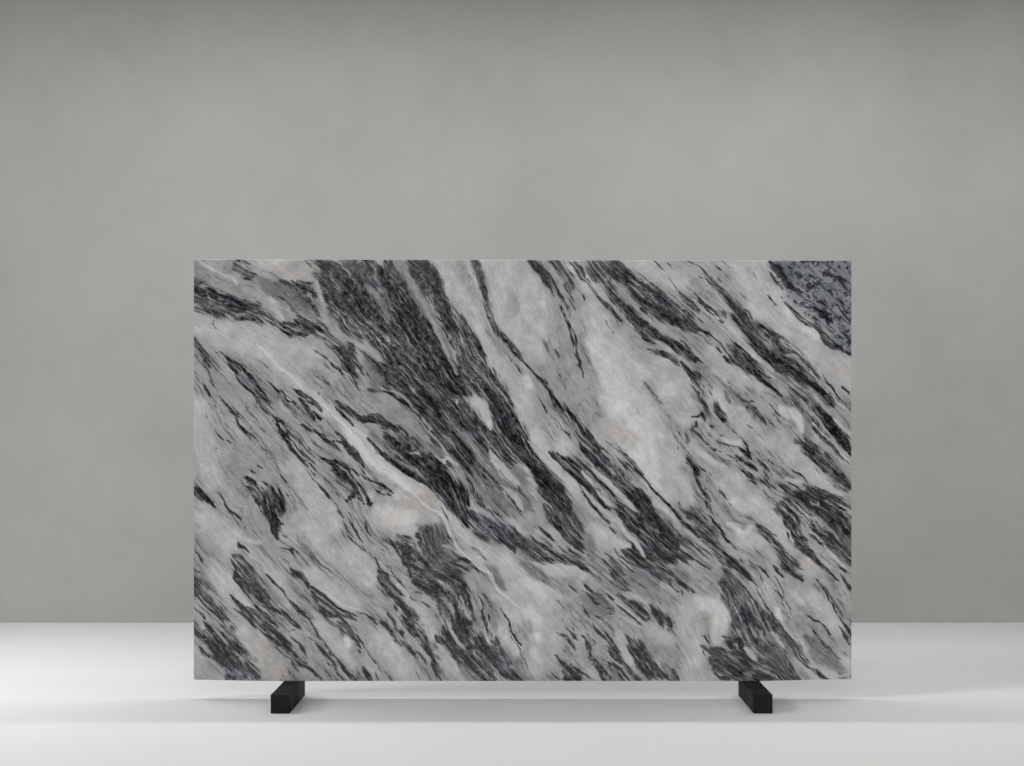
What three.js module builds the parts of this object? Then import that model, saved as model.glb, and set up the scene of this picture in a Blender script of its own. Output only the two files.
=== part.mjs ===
// A polished marble slab standing on edge across two square timber bearers.
//
// Frame: millimetres, +X along the slab, +Y from its polished face to its back, +Z up.
// The origin is on the floor, midway along the bearers and under the middle of the slab's length.

import * as THREE from "three";

// Bearers: black-painted square timber, laid from front to back on the floor.
const BEARER_SIDE = 80;
const BEARER_LENGTH = 370;
const BEARER_BEHIND = 60; // how far they reach behind the slab's back
const LEFT_BEARER_X = -1013; // from the middle of the slab to the middle of the bearer
const RIGHT_BEARER_X = 1005;
const BEARER_ARRIS = 1.5; // the small flat planed along every edge

// Slab: one plate of stone, sawn from a block and trimmed by hand.
const SLAB_LENGTH = 2900;
const SLAB_THICKNESS = 20;
const SLAB_HEIGHT = 1859; // at the left end, from the bearers to the top edge
const TOP_FALL = 6; // the top edge comes down this much on its way to the right end
const LEFT_LIFT = 6; // the bottom edge rises this much at the left end
const LEFT_RUN = 290; // over this length
const RIGHT_LIFT = 9;
const RIGHT_RUN = 390;
const SLAB_ARRIS = 1.2;

const marble = new THREE.MeshStandardMaterial({ color: 0x8f8f91, roughness: 0.25, metalness: 0 });
const blackPaint = new THREE.MeshStandardMaterial({ color: 0x171715, roughness: 0.6, metalness: 0 });

// A plate of the outline's shape, lying in XZ and centred on Y, with a small flat along its edges.
// The outline is drawn facing the viewer who looks along +Y.
function plate(outline, thickness, arris) {
  const geometry = new THREE.ExtrudeGeometry(new THREE.Shape(outline), {
    depth: thickness - 2 * arris,
    bevelEnabled: true,
    bevelThickness: arris,
    bevelSize: arris,
    bevelOffset: -arris,
    bevelSegments: 1,
  });
  geometry.translate(0, 0, arris - thickness / 2);
  return geometry.rotateX(Math.PI / 2);
}

// The slab's outline, round from its lower left corner. The middle of the bottom edge is straight, and
// each end of it was trimmed a little high.
function slabOutline() {
  const end = SLAB_LENGTH / 2;
  return [
    new THREE.Vector2(-end, LEFT_LIFT),
    new THREE.Vector2(LEFT_RUN - end, 0),
    new THREE.Vector2(end - RIGHT_RUN, 0),
    new THREE.Vector2(end, RIGHT_LIFT),
    new THREE.Vector2(end, SLAB_HEIGHT - TOP_FALL),
    new THREE.Vector2(-end, SLAB_HEIGHT),
  ];
}

function squareOutline(side) {
  return [
    new THREE.Vector2(-side / 2, 0),
    new THREE.Vector2(side / 2, 0),
    new THREE.Vector2(side / 2, side),
    new THREE.Vector2(-side / 2, side),
  ];
}

function makeSlab() {
  const slab = new THREE.Mesh(plate(slabOutline(), SLAB_THICKNESS, SLAB_ARRIS), marble);
  slab.name = "marble_slab";
  slab.position.y = BEARER_LENGTH / 2 - BEARER_BEHIND - SLAB_THICKNESS / 2;
  slab.position.z = BEARER_SIDE;
  return slab;
}

function makeBearer(name, x) {
  const bearer = new THREE.Mesh(plate(squareOutline(BEARER_SIDE), BEARER_LENGTH, BEARER_ARRIS), blackPaint);
  bearer.name = name;
  bearer.position.x = x;
  return bearer;
}

const part = new THREE.Group();
part.add(makeSlab());
part.add(makeBearer("left_bearer", LEFT_BEARER_X));
part.add(makeBearer("right_bearer", RIGHT_BEARER_X));

export default part;
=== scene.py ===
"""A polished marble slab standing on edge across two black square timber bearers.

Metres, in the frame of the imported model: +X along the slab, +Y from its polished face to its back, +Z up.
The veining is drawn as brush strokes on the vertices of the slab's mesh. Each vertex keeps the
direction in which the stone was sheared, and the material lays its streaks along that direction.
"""

import math

import bmesh
import bpy
import numpy as np
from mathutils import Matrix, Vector, noise


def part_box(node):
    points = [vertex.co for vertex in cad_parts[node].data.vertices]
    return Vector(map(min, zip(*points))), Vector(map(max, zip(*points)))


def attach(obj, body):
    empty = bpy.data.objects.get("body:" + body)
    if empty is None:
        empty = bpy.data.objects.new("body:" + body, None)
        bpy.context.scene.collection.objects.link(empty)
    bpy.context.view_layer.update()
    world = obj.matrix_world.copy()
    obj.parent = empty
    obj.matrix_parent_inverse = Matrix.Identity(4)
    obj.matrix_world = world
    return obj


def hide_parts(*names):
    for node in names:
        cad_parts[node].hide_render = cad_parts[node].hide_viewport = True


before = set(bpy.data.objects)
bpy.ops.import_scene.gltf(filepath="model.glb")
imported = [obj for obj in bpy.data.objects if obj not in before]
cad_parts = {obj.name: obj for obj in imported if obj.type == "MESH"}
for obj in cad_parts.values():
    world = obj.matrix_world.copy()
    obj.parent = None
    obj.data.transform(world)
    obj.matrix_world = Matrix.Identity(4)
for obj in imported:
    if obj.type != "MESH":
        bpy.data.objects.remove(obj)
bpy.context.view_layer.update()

# ---------------------------------------------------------------- the slab's outline, as it was trimmed
SLAB_LOW, SLAB_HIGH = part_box("marble_slab")
SLAB_LENGTH = SLAB_HIGH[0] - SLAB_LOW[0]
SLAB_MIDDLE = (SLAB_LOW[1] + SLAB_HIGH[1]) / 2
TOP_FALL = 0.006
LEFT_LIFT, LEFT_RUN = 0.006, 0.290
RIGHT_LIFT, RIGHT_RUN = 0.009, 0.390
ARRIS = 0.0012
CHIP_DEPTH = 0.0009  # the most that the polished face's edge is chipped back beyond the arris

# ---------------------------------------------------------------- the painting grid
COLUMNS, ROWS = 340, 218  # cells of the polished face, both even: the back has one cell for every four
CENTIMETRES = 100  # in a metre: strokes are placed in centimetres
CELL = CENTIMETRES * SLAB_LENGTH / COLUMNS


# ---------------------------------------------------------------- the paints
# What each paint does to the canvas, in the order in which they are laid. "dark" is how much of the dark
# mineral there is, "streak" how strongly it is drawn out in streaks, "light" the tone of the pale stone
# (0 black, 1 white), "deep" the tone of the dark stone, and "warm" and "plum" are tints.
FIELDS = {
    "grey": {"light": 0.60, "dark": 0.17, "streak": 0.16},
    "mid": {"light": 0.50, "dark": 0.22, "streak": 0.24},
    "pale": {"light": 0.69, "dark": 0.06, "streak": 0.12},
    "white": {"light": 0.755, "dark": 0.0, "streak": 0.06},
    "cream": {"light": 0.67, "dark": 0.06, "streak": 0.12, "warm": 0.9},
    "blush": {"light": 0.745, "dark": 0.0, "streak": 0.08, "warm": 0.8},
    "blue": {"light": 0.50, "dark": 0.27, "streak": 0.35, "warm": -1.2},
    "streaky": {"dark": 0.54, "streak": 0.7, "deep": 0.31},
    "gloom": {"dark": 0.74, "streak": 0.55, "deep": 0.31},
    "dusk": {"dark": 0.84, "streak": 0.6, "deep": 0.31},
    "plum": {"dark": 0.84, "streak": 0.55, "deep": 0.33, "plum": 1.0},
    "night": {"dark": 1.0, "streak": 0.65, "deep": 0.26},
    "slate": {"light": 0.36, "dark": 0.66, "streak": 0.2, "deep": 0.335},
    "beige": {"light": 0.62, "dark": 0.1, "streak": 0.3, "warm": 0.6},
    "mist": {"light": 0.48, "dark": 0.2, "streak": 0.4},
    "strand": {"light": 0.60, "dark": 0.12, "streak": 0.35},
    "flag": {"light": 0.69, "dark": 0.04, "streak": 0.15},
}
# The paints whose strokes end in a point.
TAPERED = ("gloom", "dusk", "plum", "night", "strand", "flag", "mist", "streaky")
# Thin lines are kept as distances instead, so that they are sharper than the grid: shade and strength.
LINES = {
    "hair": ("dark", 1.0),
    "faint": ("dark", 0.55),
    "thread": ("white", 0.4),
    "vein": ("white", 0.62),
}
LINE_CHANNELS = {"dark": 3, "white": 2}
LINE_REACH = 1.45 * CELL  # a line is cut off beyond this distance, before it meets its neighbour's numbers

# The strokes: (centimetres from the slab's left end, centimetres down from its top left corner,
# half width). A point without a half width keeps the last one.
TOP_LEFT = {
    "grey": [
        [(0, 3, 5), (15, 8), (30, 16), (38, 22)],
        [(33, 17, 2.5), (36, 22), (42, 27)],
        [(62, 23.5, 1), (63, 26, 1.5), (66, 29), (68.5, 31.5, 1)],
        [(62, 24, 1.2), (67, 29, 1.6), (72, 34, 1.8), (78, 39, 1.2)],
    ],
    "mid": [
        [(36.5, 12, 2), (41, 13)],
    ],
    "pale": [
        [(0, 28, 5), (15, 33, 7), (35, 38), (50, 43, 6)],
        [(2, 1, 0.8), (7, 3.5), (14, 6.5), (17, 8.5), (19, 11, 0.5)],
    ],
    "cream": [
        [(31, 0, 4), (40, 2, 6), (50, 6.5, 4)],
    ],
    "streaky": [
        [(0, 16, 6), (10, 19, 5.5), (20, 22, 4.5), (30, 24, 3.5)],
        [(22, 4, 3), (26, 7, 2.5)],
        [(17, 2, 2), (22, 5, 2.5), (27, 7.5, 1.5)],
        [(38, 9, 1.5), (44, 13, 2), (50, 18, 2)],
    ],
    "gloom": [
        [(61, 38, 1.5), (66, 40, 3), (71, 44, 3.5), (74, 48, 2.5)],
        [(0, 13, 2.5), (8, 17, 4), (16, 20, 3.5), (24, 22, 3), (31, 24.5, 2)],
        [(40, 13, 3.5), (45, 17, 4.5), (50, 21, 4), (54, 26, 3), (57, 30, 2)],
        [(36, 28, 1.5), (42, 30.5, 2.5), (49, 30.5, 3.5), (55, 31, 2.5)],
        [(44, 11, 2), (50, 13, 2.5), (53, 17, 2)],
        [(56, 5, 5), (62, 12), (68, 20, 6), (74, 28), (80, 36)],
        [(60, 16, 3), (64, 22, 3.5), (68, 28), (73, 34, 3)],
        [(46, 9, 2), (50, 12), (54, 16)],
        [(37, 11, 2.5), (43, 14, 4), (49, 19, 4.5), (54, 25, 4)],
        [(38, 29, 1.2), (44, 31, 1.8), (51, 31, 2.4), (56, 30, 1.8)],
        [(22, 21, 2), (28, 24, 3), (34, 27, 2.4), (39, 30, 1.8)],
    ],
    "dusk": [
        [(19, 0, 1), (18, 4, 1.6), (21, 5), (23, 7.5), (27, 7), (28, 8.5, 0.8)],
        [(0, 17, 1.5), (6, 18.5, 1.8), (12, 20), (19, 21.5, 2.3), (27, 21.5), (30, 23.5, 1.3),
         (32, 22.5, 0.8)],
        [(3, 19, 0.6), (6, 21, 0.9), (12, 23, 1), (17, 24, 1.2), (20, 25.5, 1), (27, 26, 0.9), (30, 28)],
        [(41, 13, 3), (44.5, 18, 3.5), (48, 20.5, 4), (52, 22.5, 3)],
        [(44.5, 26.5, 1.2), (48, 29, 2), (51.5, 30, 2.8), (55.5, 31, 1.5), (57.5, 32, 1)],
        [(54.5, 25, 1), (56, 27.5), (57.5, 29, 0.8), (60.5, 33.5, 0.6)],
        [(50, 0, 2), (52.5, 3.5), (55, 6.5, 3), (58, 10, 4), (62, 16), (66, 22), (70, 28)],
        [(0, 34.5, 0.8), (2.5, 38, 1.2), (4.5, 42, 1.1), (6, 45), (7, 48, 1)],
        [(13, 43, 1), (18, 47.5, 1.4), (21, 50)],
        [(60, 45, 0.7), (64, 47.5, 1), (67.5, 49.5, 1.2)],
        [(38, 12, 2), (43, 16, 3), (48, 20, 3.5), (53, 24, 3), (56, 27, 2)],
        [(42, 17, 3), (47, 22, 3.5), (52, 27), (56, 31, 2.5)],
        [(56, 1, 2), (61, 7, 3), (66, 14), (71, 21), (76, 28)],
    ],
    "night": [
        [(0, 12.5, 1), (6, 14, 1.1), (12, 15.5, 0.8), (15.5, 16.5, 0.7), (18.5, 18, 0.5),
         (20.5, 19.5, 0.4)],
        [(15, 20, 0.5), (19, 21.5, 1), (24, 21.5, 1.2), (28, 21.5, 0.8), (30, 24, 0.6)],
        [(37.5, 30.5, 0.6), (39.5, 32, 0.8), (41.5, 33), (43.5, 34.5, 0.5)],
        [(42, 31.5, 0.4), (45.5, 32.5, 0.7), (50, 33), (52.5, 33, 0.4)],
        [(43.5, 9, 0.3), (46, 10.5, 0.7), (48.5, 13, 0.8), (50, 15, 0.5)],
        [(49, 29.5, 0.7), (52, 30.5, 1.7), (54, 31.5, 0.9)],
        [(54.5, 1, 1), (61.5, 4.5, 1.4), (64, 8), (67.5, 11, 1.2), (71, 16), (75, 22, 1)],
        [(61, 38.5, 0.9), (66.5, 39.5, 1.7)],
        [(67, 36, 0.7), (68.5, 37, 0.9), (72, 41.5, 1.4)],
        [(13, 42.5, 0.4), (15, 44.5, 0.6), (17, 47.5, 0.7), (19, 49.5, 0.8)],
        [(20.5, 47, 0.6), (21.5, 48, 0.7), (23.5, 50, 0.9)],
    ],
    "beige": [
        [(51, 6.5, 0.6), (53.5, 9.5, 0.8), (55.5, 14), (57, 18, 0.9), (57.5, 22), (58, 26),
         (60.5, 29.5, 0.9), (64, 33.5), (68.5, 35, 0.7), (72, 37), (76, 39, 0.6)],
        [(43, 3, 3.5), (48, 6, 3)],
    ],
    "mist": [
        [(34, 11, 2), (40, 14, 3), (47, 20, 3), (53, 26, 2.5)],
        [(28, 8, 2.5), (34, 13, 3), (39, 18, 2.5)],
    ],
    "flag": [
        [(33, 17, 1.2), (36, 22, 1.8), (39, 27, 1.4)],
    ],
    "hair": [
        [(33, 27.5, 0.4), (35.5, 29, 0.5), (38.5, 31.5)],
        [(38.5, 30, 0.4), (42, 31.5, 0.5)],
        [(35.5, 14.5, 0.5), (39.5, 18), (43, 20.5)],
        [(50, 35, 0.3), (53, 40, 0.4), (56.5, 42, 0.6), (60, 45)],
        [(9, 26.5, 0.3), (8, 28.5), (10.5, 31.5)],
        [(0, 41.5, 0.3), (2.5, 44.5), (5.5, 48)],
        [(9, 41.5, 0.4), (11, 41, 0.5), (13, 42.5)],
        [(16.5, 44, 0.4), (19, 46, 0.6), (21.5, 48)],
        [(7, 44, 0.4), (8.5, 45.5)],
    ],
    "thread": [
        [(5, 15, 0.3), (10, 18.5), (17, 19)],
        [(64.5, 22, 0.4), (68.5, 27), (72, 31), (75, 33.5)],
        [(2, 1, 0.35), (7, 3.5), (14, 6.5), (17, 8.5), (19, 11)],
        [(63, 23, 0.3), (70, 33), (80, 42)],
        [(66, 22, 0.3), (72, 30), (78, 38)],
        [(33, 14, 0.5), (35, 19), (38, 24), (41, 28.5)],
        [(36, 20, 0.4), (41, 22.5), (46, 25)],
        [(40, 29, 0.35), (45, 31), (49, 30)],
    ],
    "vein": [
        [(27, 36.5, 0.45), (30, 40), (33.5, 44), (36.5, 46.5), (40, 50)],
    ],
}

TOP_INNER_LEFT = {
    "mid": [
        [(68, 0, 2.5), (75, 9), (80, 17), (85, 25)],
    ],
    "pale": [
        [(107, 0, 3), (112, 8, 4), (118, 17, 3.5), (123, 25, 3), (127, 33, 2.5), (131, 42, 3),
         (136, 50, 4)],
        [(130, 0, 4), (134, 15, 5), (138, 28, 4), (143, 38, 3)],
    ],
    "streaky": [
        [(96, 0, 2.5), (100, 8), (105, 17), (110, 28), (114, 36)],
        [(112, 22, 2.5), (118, 34), (124, 45)],
        [(62, 10, 6), (70, 22, 8), (80, 34), (90, 46), (98, 58)],
        [(112, 25, 3), (117, 35), (122, 45, 3.5), (127, 55, 3)],
        [(94, 0, 1.6), (99, 8), (104, 16), (109, 24), (114, 34), (118, 42)],
        [(91, 25, 1.6), (95, 32, 2.2), (99, 39, 1.8)],
    ],
    "gloom": [
        [(91, 19, 2), (96, 27, 3.2), (101, 34, 3.4), (106, 42, 2.8)],
        [(88, 20, 1.6), (93, 28, 2.4), (98, 36, 2.4)],
    ],
    "dusk": [
        [(70, 0, 8), (80, 18), (90, 33), (98, 48)],
        [(99, 0, 3), (104, 6, 2.5), (108, 12, 2.2), (111, 18, 1.8), (116, 25, 2), (121, 33),
         (125, 40, 2.2), (129, 48, 2)],
        [(123, 0, 1.2), (126, 6, 1.8), (127, 13, 1.3), (129, 20, 1.5), (132, 27, 1.3), (135, 33),
         (139, 37, 1), (143, 41, 0.8), (146, 45)],
        [(102, 6, 2), (106, 14), (110, 22), (114, 30, 2.2), (118, 38), (122, 46)],
        [(97, 0, 1), (102, 8), (107, 16), (112, 24), (117, 34)],
        [(85, 1, 2), (89, 8, 2), (94, 15), (99, 22, 1.6)],
        [(93, 0, 1.4), (98, 7), (103, 15, 1.8), (108, 23)],
    ],
    "night": [
        [(82, 3, 3), (87, 13, 3.5), (93, 21), (100, 28), (105, 35, 3), (109, 43, 2.6), (113, 50, 2)],
        [(107, 11, 0.9), (109, 13)],
        [(137, 36, 0.7), (143, 43, 0.7), (149, 49, 0.8)],
        [(88, 20, 2.5), (94, 28, 3.5), (100, 37, 4), (106, 46, 3.5), (111, 55, 3)],
    ],
    "beige": [
        [(76, 38, 1.2), (79, 41, 1.5), (82, 44, 1)],
    ],
    "mist": [
        [(89, 0, 1.7), (93, 6), (96, 13), (99, 18, 1.9), (103, 24), (107, 30, 1.4), (110, 37, 1.2),
         (113, 43), (116, 50, 0.9)],
        [(75, 11, 1.2), (80, 17, 1.5), (84, 23, 1.2), (87, 30, 1)],
        [(90, 1, 1.2), (95, 10), (100, 18), (105, 26), (110, 35), (114, 44)],
    ],
    "strand": [
        [(93, 5, 0.8), (97, 13, 1), (101, 20), (105, 27, 0.8), (109, 35, 0.7), (113, 43)],
    ],
    "hair": [
        [(139, 43, 0.4), (142, 48), (145, 50)],
    ],
    "thread": [
        [(73, 27, 0.3), (80, 33)],
        [(90, 12, 0.3), (95, 20)],
        [(96, 34, 0.3), (101, 38)],
        [(70, 24, 0.35), (75, 30), (79, 36)],
        [(92, 26, 0.3), (98, 36), (103, 44)],
    ],
    "vein": [
        [(121, 5, 0.4), (123.5, 9), (124, 12)],
    ],
}

TOP_INNER_RIGHT = {
    "grey": [
        [(155, 15, 4), (160, 30, 5), (168, 50)],
        [(150, 0, 4), (160, 15, 4.5), (165, 30), (170, 50, 4), (176, 60, 3)],
    ],
    "pale": [
        [(140, 0, 5), (148, 15, 6), (153, 30, 5)],
        [(195, 1, 4), (205, 4, 5), (214, 9, 4)],
        [(175, 22, 4), (185, 38, 6), (195, 48, 7)],
        [(145, 27, 4), (149, 35, 4), (153, 43, 3.5)],
        [(168, 3, 3), (174, 10, 3.5), (180, 17, 3.5)],
        [(198, 1, 3), (205, 6, 3), (212, 11, 2)],
    ],
    "white": [
        [(175, 36, 3), (180, 45, 4), (186, 55, 4.5)],
    ],
    "streaky": [
        [(152, 3, 1.8), (158, 12, 2), (163, 20, 1.4)],
    ],
    "gloom": [
        [(177, 2, 2), (183, 12), (190, 22, 2.6), (198, 30), (206, 36, 3)],
        [(184, 2, 4), (194, 10), (204, 17, 5), (212, 24), (218, 30, 3)],
        [(210, 20, 4), (216, 25), (222, 30, 2)],
        [(210, 36, 3), (216, 41), (221, 45, 2)],
        [(148, 0, 1.6), (153, 5, 2.2), (158, 12, 1.8), (163, 20, 1.4), (166, 27, 1)],
        [(158, 0, 1.3), (162, 6, 1.6), (165, 13), (167, 21, 1)],
    ],
    "dusk": [
        [(157, 1, 1), (159, 3), (161.5, 6, 1.6), (164.5, 8), (166, 11), (167, 14)],
        [(162.5, 18, 1), (164, 19.5), (165, 21.5), (164, 24)],
        [(165, 1.5, 1), (168, 1.5, 1.2), (170, 5), (171.5, 8), (173.5, 11), (175.5, 14), (178, 17),
         (180.5, 19, 1), (183.5, 21.5), (186, 25), (188.5, 27, 0.6)],
        [(169, 1.5, 0.8), (171.5, 4.5), (173, 7)],
        [(173.5, 3, 1.2), (175.5, 6.5), (177, 11)],
        [(176.5, 1, 1), (178.5, 6.5), (181, 10), (183.5, 15), (186, 19), (189.5, 22, 1.2), (192.5, 27),
         (195, 31, 1), (197.5, 33), (199.5, 35.5), (203.5, 37, 0.6)],
        [(180, 1, 1.5), (185, 5.5, 3), (190, 8.5), (193.5, 11, 2.5), (196.5, 16), (200.5, 19, 3),
         (206, 21.5, 3.5), (210.5, 25.5, 3), (215, 29)],
        [(185.5, 0, 1.5), (189, 3), (191, 6.5)],
        [(199, 12, 1.2), (204, 14.5), (209, 18.5), (215, 20.5)],
        [(197.5, 39.5, 1.2), (202.5, 40.5), (208.5, 41.5), (212, 44.5), (214.5, 48)],
        [(190.5, 20, 0.8), (193, 21.5)],
        [(196.5, 22, 0.8), (200, 24)],
        [(148, 1, 0.8), (153, 6, 1.2), (157, 11, 1), (161, 17, 0.8)],
        [(159, 2, 1.2), (163, 8, 1.5), (166, 15, 1.2)],
    ],
    "night": [
        [(147.5, 0, 0.5), (150, 3, 0.8), (153, 4.5, 1), (156, 6.5), (158, 8.5, 0.7), (159, 11, 0.5)],
        [(153.5, 8, 0.5), (155, 10.5, 0.7), (156.5, 13, 0.5)],
        [(176.5, 15.5, 0.7), (178, 17, 1.2), (179.5, 18.5, 0.7)],
        [(185, 17.5, 0.6), (186, 19, 0.9), (187.5, 20, 0.6)],
        [(182, 3, 1), (186, 6.5, 1.4), (190.5, 9.5, 1.2), (194, 13, 1), (198, 18), (203, 20.5, 1.4),
         (208, 24), (213, 27.5), (216, 29.5)],
        [(184.5, 7.5, 0.6), (187, 8.5, 0.9), (189.5, 10, 0.6)],
        [(193, 23.5, 0.4), (196, 26.5, 0.5), (199, 29, 0.7), (204, 32, 1.4), (208.5, 35.5, 1.7),
         (212.5, 38), (216, 41, 1.4)],
    ],
    "strand": [
        [(182.5, 7, 1.2), (182.5, 9)],
        [(199.5, 28.5, 0.6), (203.5, 29.5)],
    ],
    "flag": [
        [(170, 9, 1), (175, 15, 1.3), (180, 21, 1)],
    ],
    "hair": [
        [(159, 11, 0.5), (160, 14.5, 0.4), (161, 16.5, 0.3)],
        [(152.5, 11.5, 0.5), (152.5, 12)],
        [(152.5, 13.5, 0.5), (153, 14.5)],
        [(166.5, 15.5, 0.4), (167.5, 19), (168.5, 22.5)],
        [(165, 26, 0.6), (166, 29), (167.5, 31.5), (168.5, 35.5), (169, 40), (170, 44.5), (171, 49.5)],
        [(159, 39.5, 0.4), (160.5, 42.5, 0.7), (161.5, 44, 0.4)],
        [(163.5, 3, 0.4), (166, 5.5), (168.5, 8.5)],
        [(171, 15, 0.5), (172, 16.5, 0.6), (173, 19, 0.4)],
        [(174, 15, 0.6), (175, 16)],
        [(198.5, 27.5, 0.6), (202.5, 30.5)],
        [(181, 25.5, 0.5), (182, 28), (184, 31), (185.5, 33)],
        [(185.5, 26, 0.5), (188, 30), (190, 31)],
        [(202.5, 0.5, 0.3), (206, 4.5), (209, 7), (212, 11.5), (215, 14.5)],
        [(208.5, 0.5, 0.3), (210.5, 3.5), (214, 8.5)],
        [(161, 17, 0.6), (164, 25, 0.7), (166, 32, 0.7), (168, 40, 0.6)],
    ],
    "thread": [
        [(191.5, 7, 0.4), (194, 9), (197.5, 12.5)],
        [(195.5, 31, 0.4), (201, 34), (207.5, 38), (213, 42)],
    ],
    "vein": [
        [(169.5, 2.5, 0.4), (172.5, 8.5), (175.5, 12.5)],
    ],
}

TOP_RIGHT = {
    "grey": [
        [(222, 0, 4), (235, 8, 6), (244, 18, 5)],
        [(230, 22, 1.2), (236, 27, 1.6), (242, 33, 1.2)],
    ],
    "mid": [
        [(240, 22, 2.5), (241, 25)],
    ],
    "pale": [
        [(246, 0, 7), (250, 15, 8), (262, 30), (275, 42), (290, 52)],
        [(224, 18, 1.2), (231, 24, 1.6), (238, 31, 1.6), (245, 38, 1.2)],
    ],
    "white": [
        [(262, 22, 2), (268, 28, 2.5), (274, 34, 2)],
    ],
    "blue": [
        [(262, 4, 6), (272, 12, 9), (284, 22)],
        [(280, 3, 9), (288, 8)],
        [(281, 26, 6), (285, 33, 5), (289, 39, 3)],
    ],
    "gloom": [
        [(238, 24, 3), (246, 31, 5), (254, 38, 6), (262, 45), (270, 52, 5), (278, 59, 4)],
        [(228, 7, 0.7), (233, 13, 1.4), (238, 20, 2.4), (244, 27, 3)],
    ],
    "dusk": [
        [(224.5, 7, 1), (229, 10.5), (233, 14, 0.9), (235.5, 15.5), (239, 18.5), (242, 21, 0.7)],
        [(221, 14, 0.6), (223, 17.5, 0.8), (226.5, 20.5, 1.2), (230, 23, 1.5), (234, 24.5, 1.2),
         (236, 27, 0.9)],
        [(232, 26, 1), (234, 28)],
        [(215, 17, 1.5), (219, 19, 2), (222, 23)],
        [(215, 21.5, 2), (218, 23.5), (221, 25.5, 1)],
        [(215, 30, 2.5), (220, 31, 1.5), (224, 31.5, 0.8)],
        [(215, 38.5, 1.5), (217, 41, 2), (219, 43, 1)],
        [(215, 46, 2), (217.5, 48)],
        [(238, 36.5, 1), (242, 41, 1.5), (246, 44.5, 2), (248.5, 48)],
        [(246, 33, 3), (248.5, 37.5), (252, 41)],
        [(245, 27, 1), (249.5, 30, 1.3), (255.5, 33.5, 1.5), (260, 39), (264.5, 41.5, 1), (268, 44.5)],
        [(260.5, 18.5, 1), (263.5, 21), (266, 24), (269.5, 27.5), (272.5, 29), (275.5, 31), (277, 33.5),
         (280, 37), (284.5, 39)],
        [(268, 11.5, 1), (271.5, 13.5)],
        [(277, 13, 1), (279, 14)],
        [(279.5, 16, 0.7), (281.5, 19)],
        [(222.5, 26, 0.8), (224, 27.5)],
    ],
    "plum": [
        [(242, 27, 2.5), (244, 30)],
    ],
    "night": [
        [(217, 26, 1.4), (219, 28.5, 0.9)],
        [(252.5, 41, 2), (256.5, 44, 2.4), (260.5, 47, 2), (264.5, 49, 1.7)],
        [(242, 31, 0.6), (244, 33.5, 0.9), (246.5, 36.5, 0.6)],
        [(252.5, 0.5, 0.3), (255, 3, 1), (258.5, 5.5, 1.4), (260.5, 8, 1), (263, 12, 0.8), (266, 14, 0.5)],
        [(272, 21, 0.6), (275.5, 23, 0.8), (278, 26), (279, 29)],
        [(278, 22.5, 1.4), (279.5, 24.5)],
        [(283.5, 33.5, 0.7), (286.5, 34.5, 1.4)],
        [(287, 40, 0.7), (289.5, 42.5, 0.9)],
        [(266.5, 43.5, 0.6), (268, 44.5, 0.9), (269, 46, 0.6)],
        [(233.5, 42.5, 0.9), (235, 44, 1.3), (237, 45, 1.1), (239.5, 46.5, 0.6)],
        [(268, 2, 0.5), (269, 4)],
        [(272.5, 7, 0.8), (274, 9, 0.6)],
        [(277, 5, 0.7), (279, 7.5, 0.5)],
        [(283, 3, 0.6), (285, 5, 0.4)],
        [(286, 11, 0.6), (288, 13, 0.8)],
        [(280.5, 14, 0.7), (282.5, 16.5, 0.5)],
        [(275, 12, 0.4), (277, 14, 0.7)],
        [(284, 17, 0.5), (285.5, 20, 0.7), (287, 23, 0.4)],
        [(270, 15, 0.5), (272, 17.5, 0.4)],
    ],
    "strand": [
        [(261, 42.5, 0.6), (265, 43), (268, 45.5), (271, 48.5)],
    ],
    "flag": [
        [(235, 29.5, 0.8), (240, 33.5), (242, 36.5), (245.5, 40), (248.5, 43.5), (252.5, 46),
         (256.5, 49.5)],
    ],
    "hair": [
        [(216.5, 0, 0.6), (220.5, 1.5), (223, 3.5), (225.5, 6), (229, 9.5)],
        [(224.5, 2, 0.6), (228, 3.5)],
        [(230, 2.5, 0.5), (233, 4.5)],
        [(230.5, 7.5, 0.5), (233.5, 10)],
        [(222, 7, 0.5), (224.5, 8.5)],
        [(242, 21, 0.6), (245, 24), (247, 26.5, 0.4)],
        [(240.5, 14.5, 0.4), (242.5, 16.5, 0.6), (244, 18.5, 0.4)],
        [(241, 12, 0.5), (241.5, 12.5)],
        [(236, 27, 0.6), (238, 29, 0.5)],
        [(224, 31.5, 0.7), (227, 33, 0.6), (230, 35.5, 0.5), (233.5, 38.5), (236, 42), (239, 45),
         (242, 48, 0.6)],
        [(218, 32.5, 0.6), (220.5, 34), (222.5, 37)],
        [(219, 43, 0.7), (222, 44, 0.6), (225.5, 46.5)],
        [(230, 38.5, 0.6), (233, 41.5, 0.8)],
        [(271, 47, 0.5), (273, 49.5, 0.6)],
        [(246.5, 5.5, 0.3), (248.5, 8.5)],
        [(253.5, 15.5, 0.3), (255.5, 19), (259.5, 21)],
        [(254, 24.5, 0.3), (256, 28), (259, 31.5)],
        [(253.5, 5.5, 0.4), (256, 8, 0.6), (258.5, 11.5, 0.7), (260, 14, 0.5)],
        [(258.5, 15.5, 0.5), (260, 18)],
        [(261, 15.5, 0.5), (263.5, 18.5)],
        [(267, 18.5, 0.5), (270, 19)],
        [(272.5, 20.5, 0.4), (275, 19), (279, 20.5), (283.5, 20.5, 0.5), (286, 23, 0.6), (290, 28.5)],
        [(275.5, 30.5, 0.5), (277.5, 32), (280.5, 35), (287, 40, 0.7)],
        [(276, 32, 0.5), (277.5, 35.5, 0.6), (280, 38, 0.4)],
    ],
    "thread": [
        [(253, 38.5, 0.4), (255.5, 41.5)],
    ],
    "vein": [
        [(220, 16, 0.35), (228, 25), (236, 33), (244, 40), (252, 48), (257, 53)],
    ],
}

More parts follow.
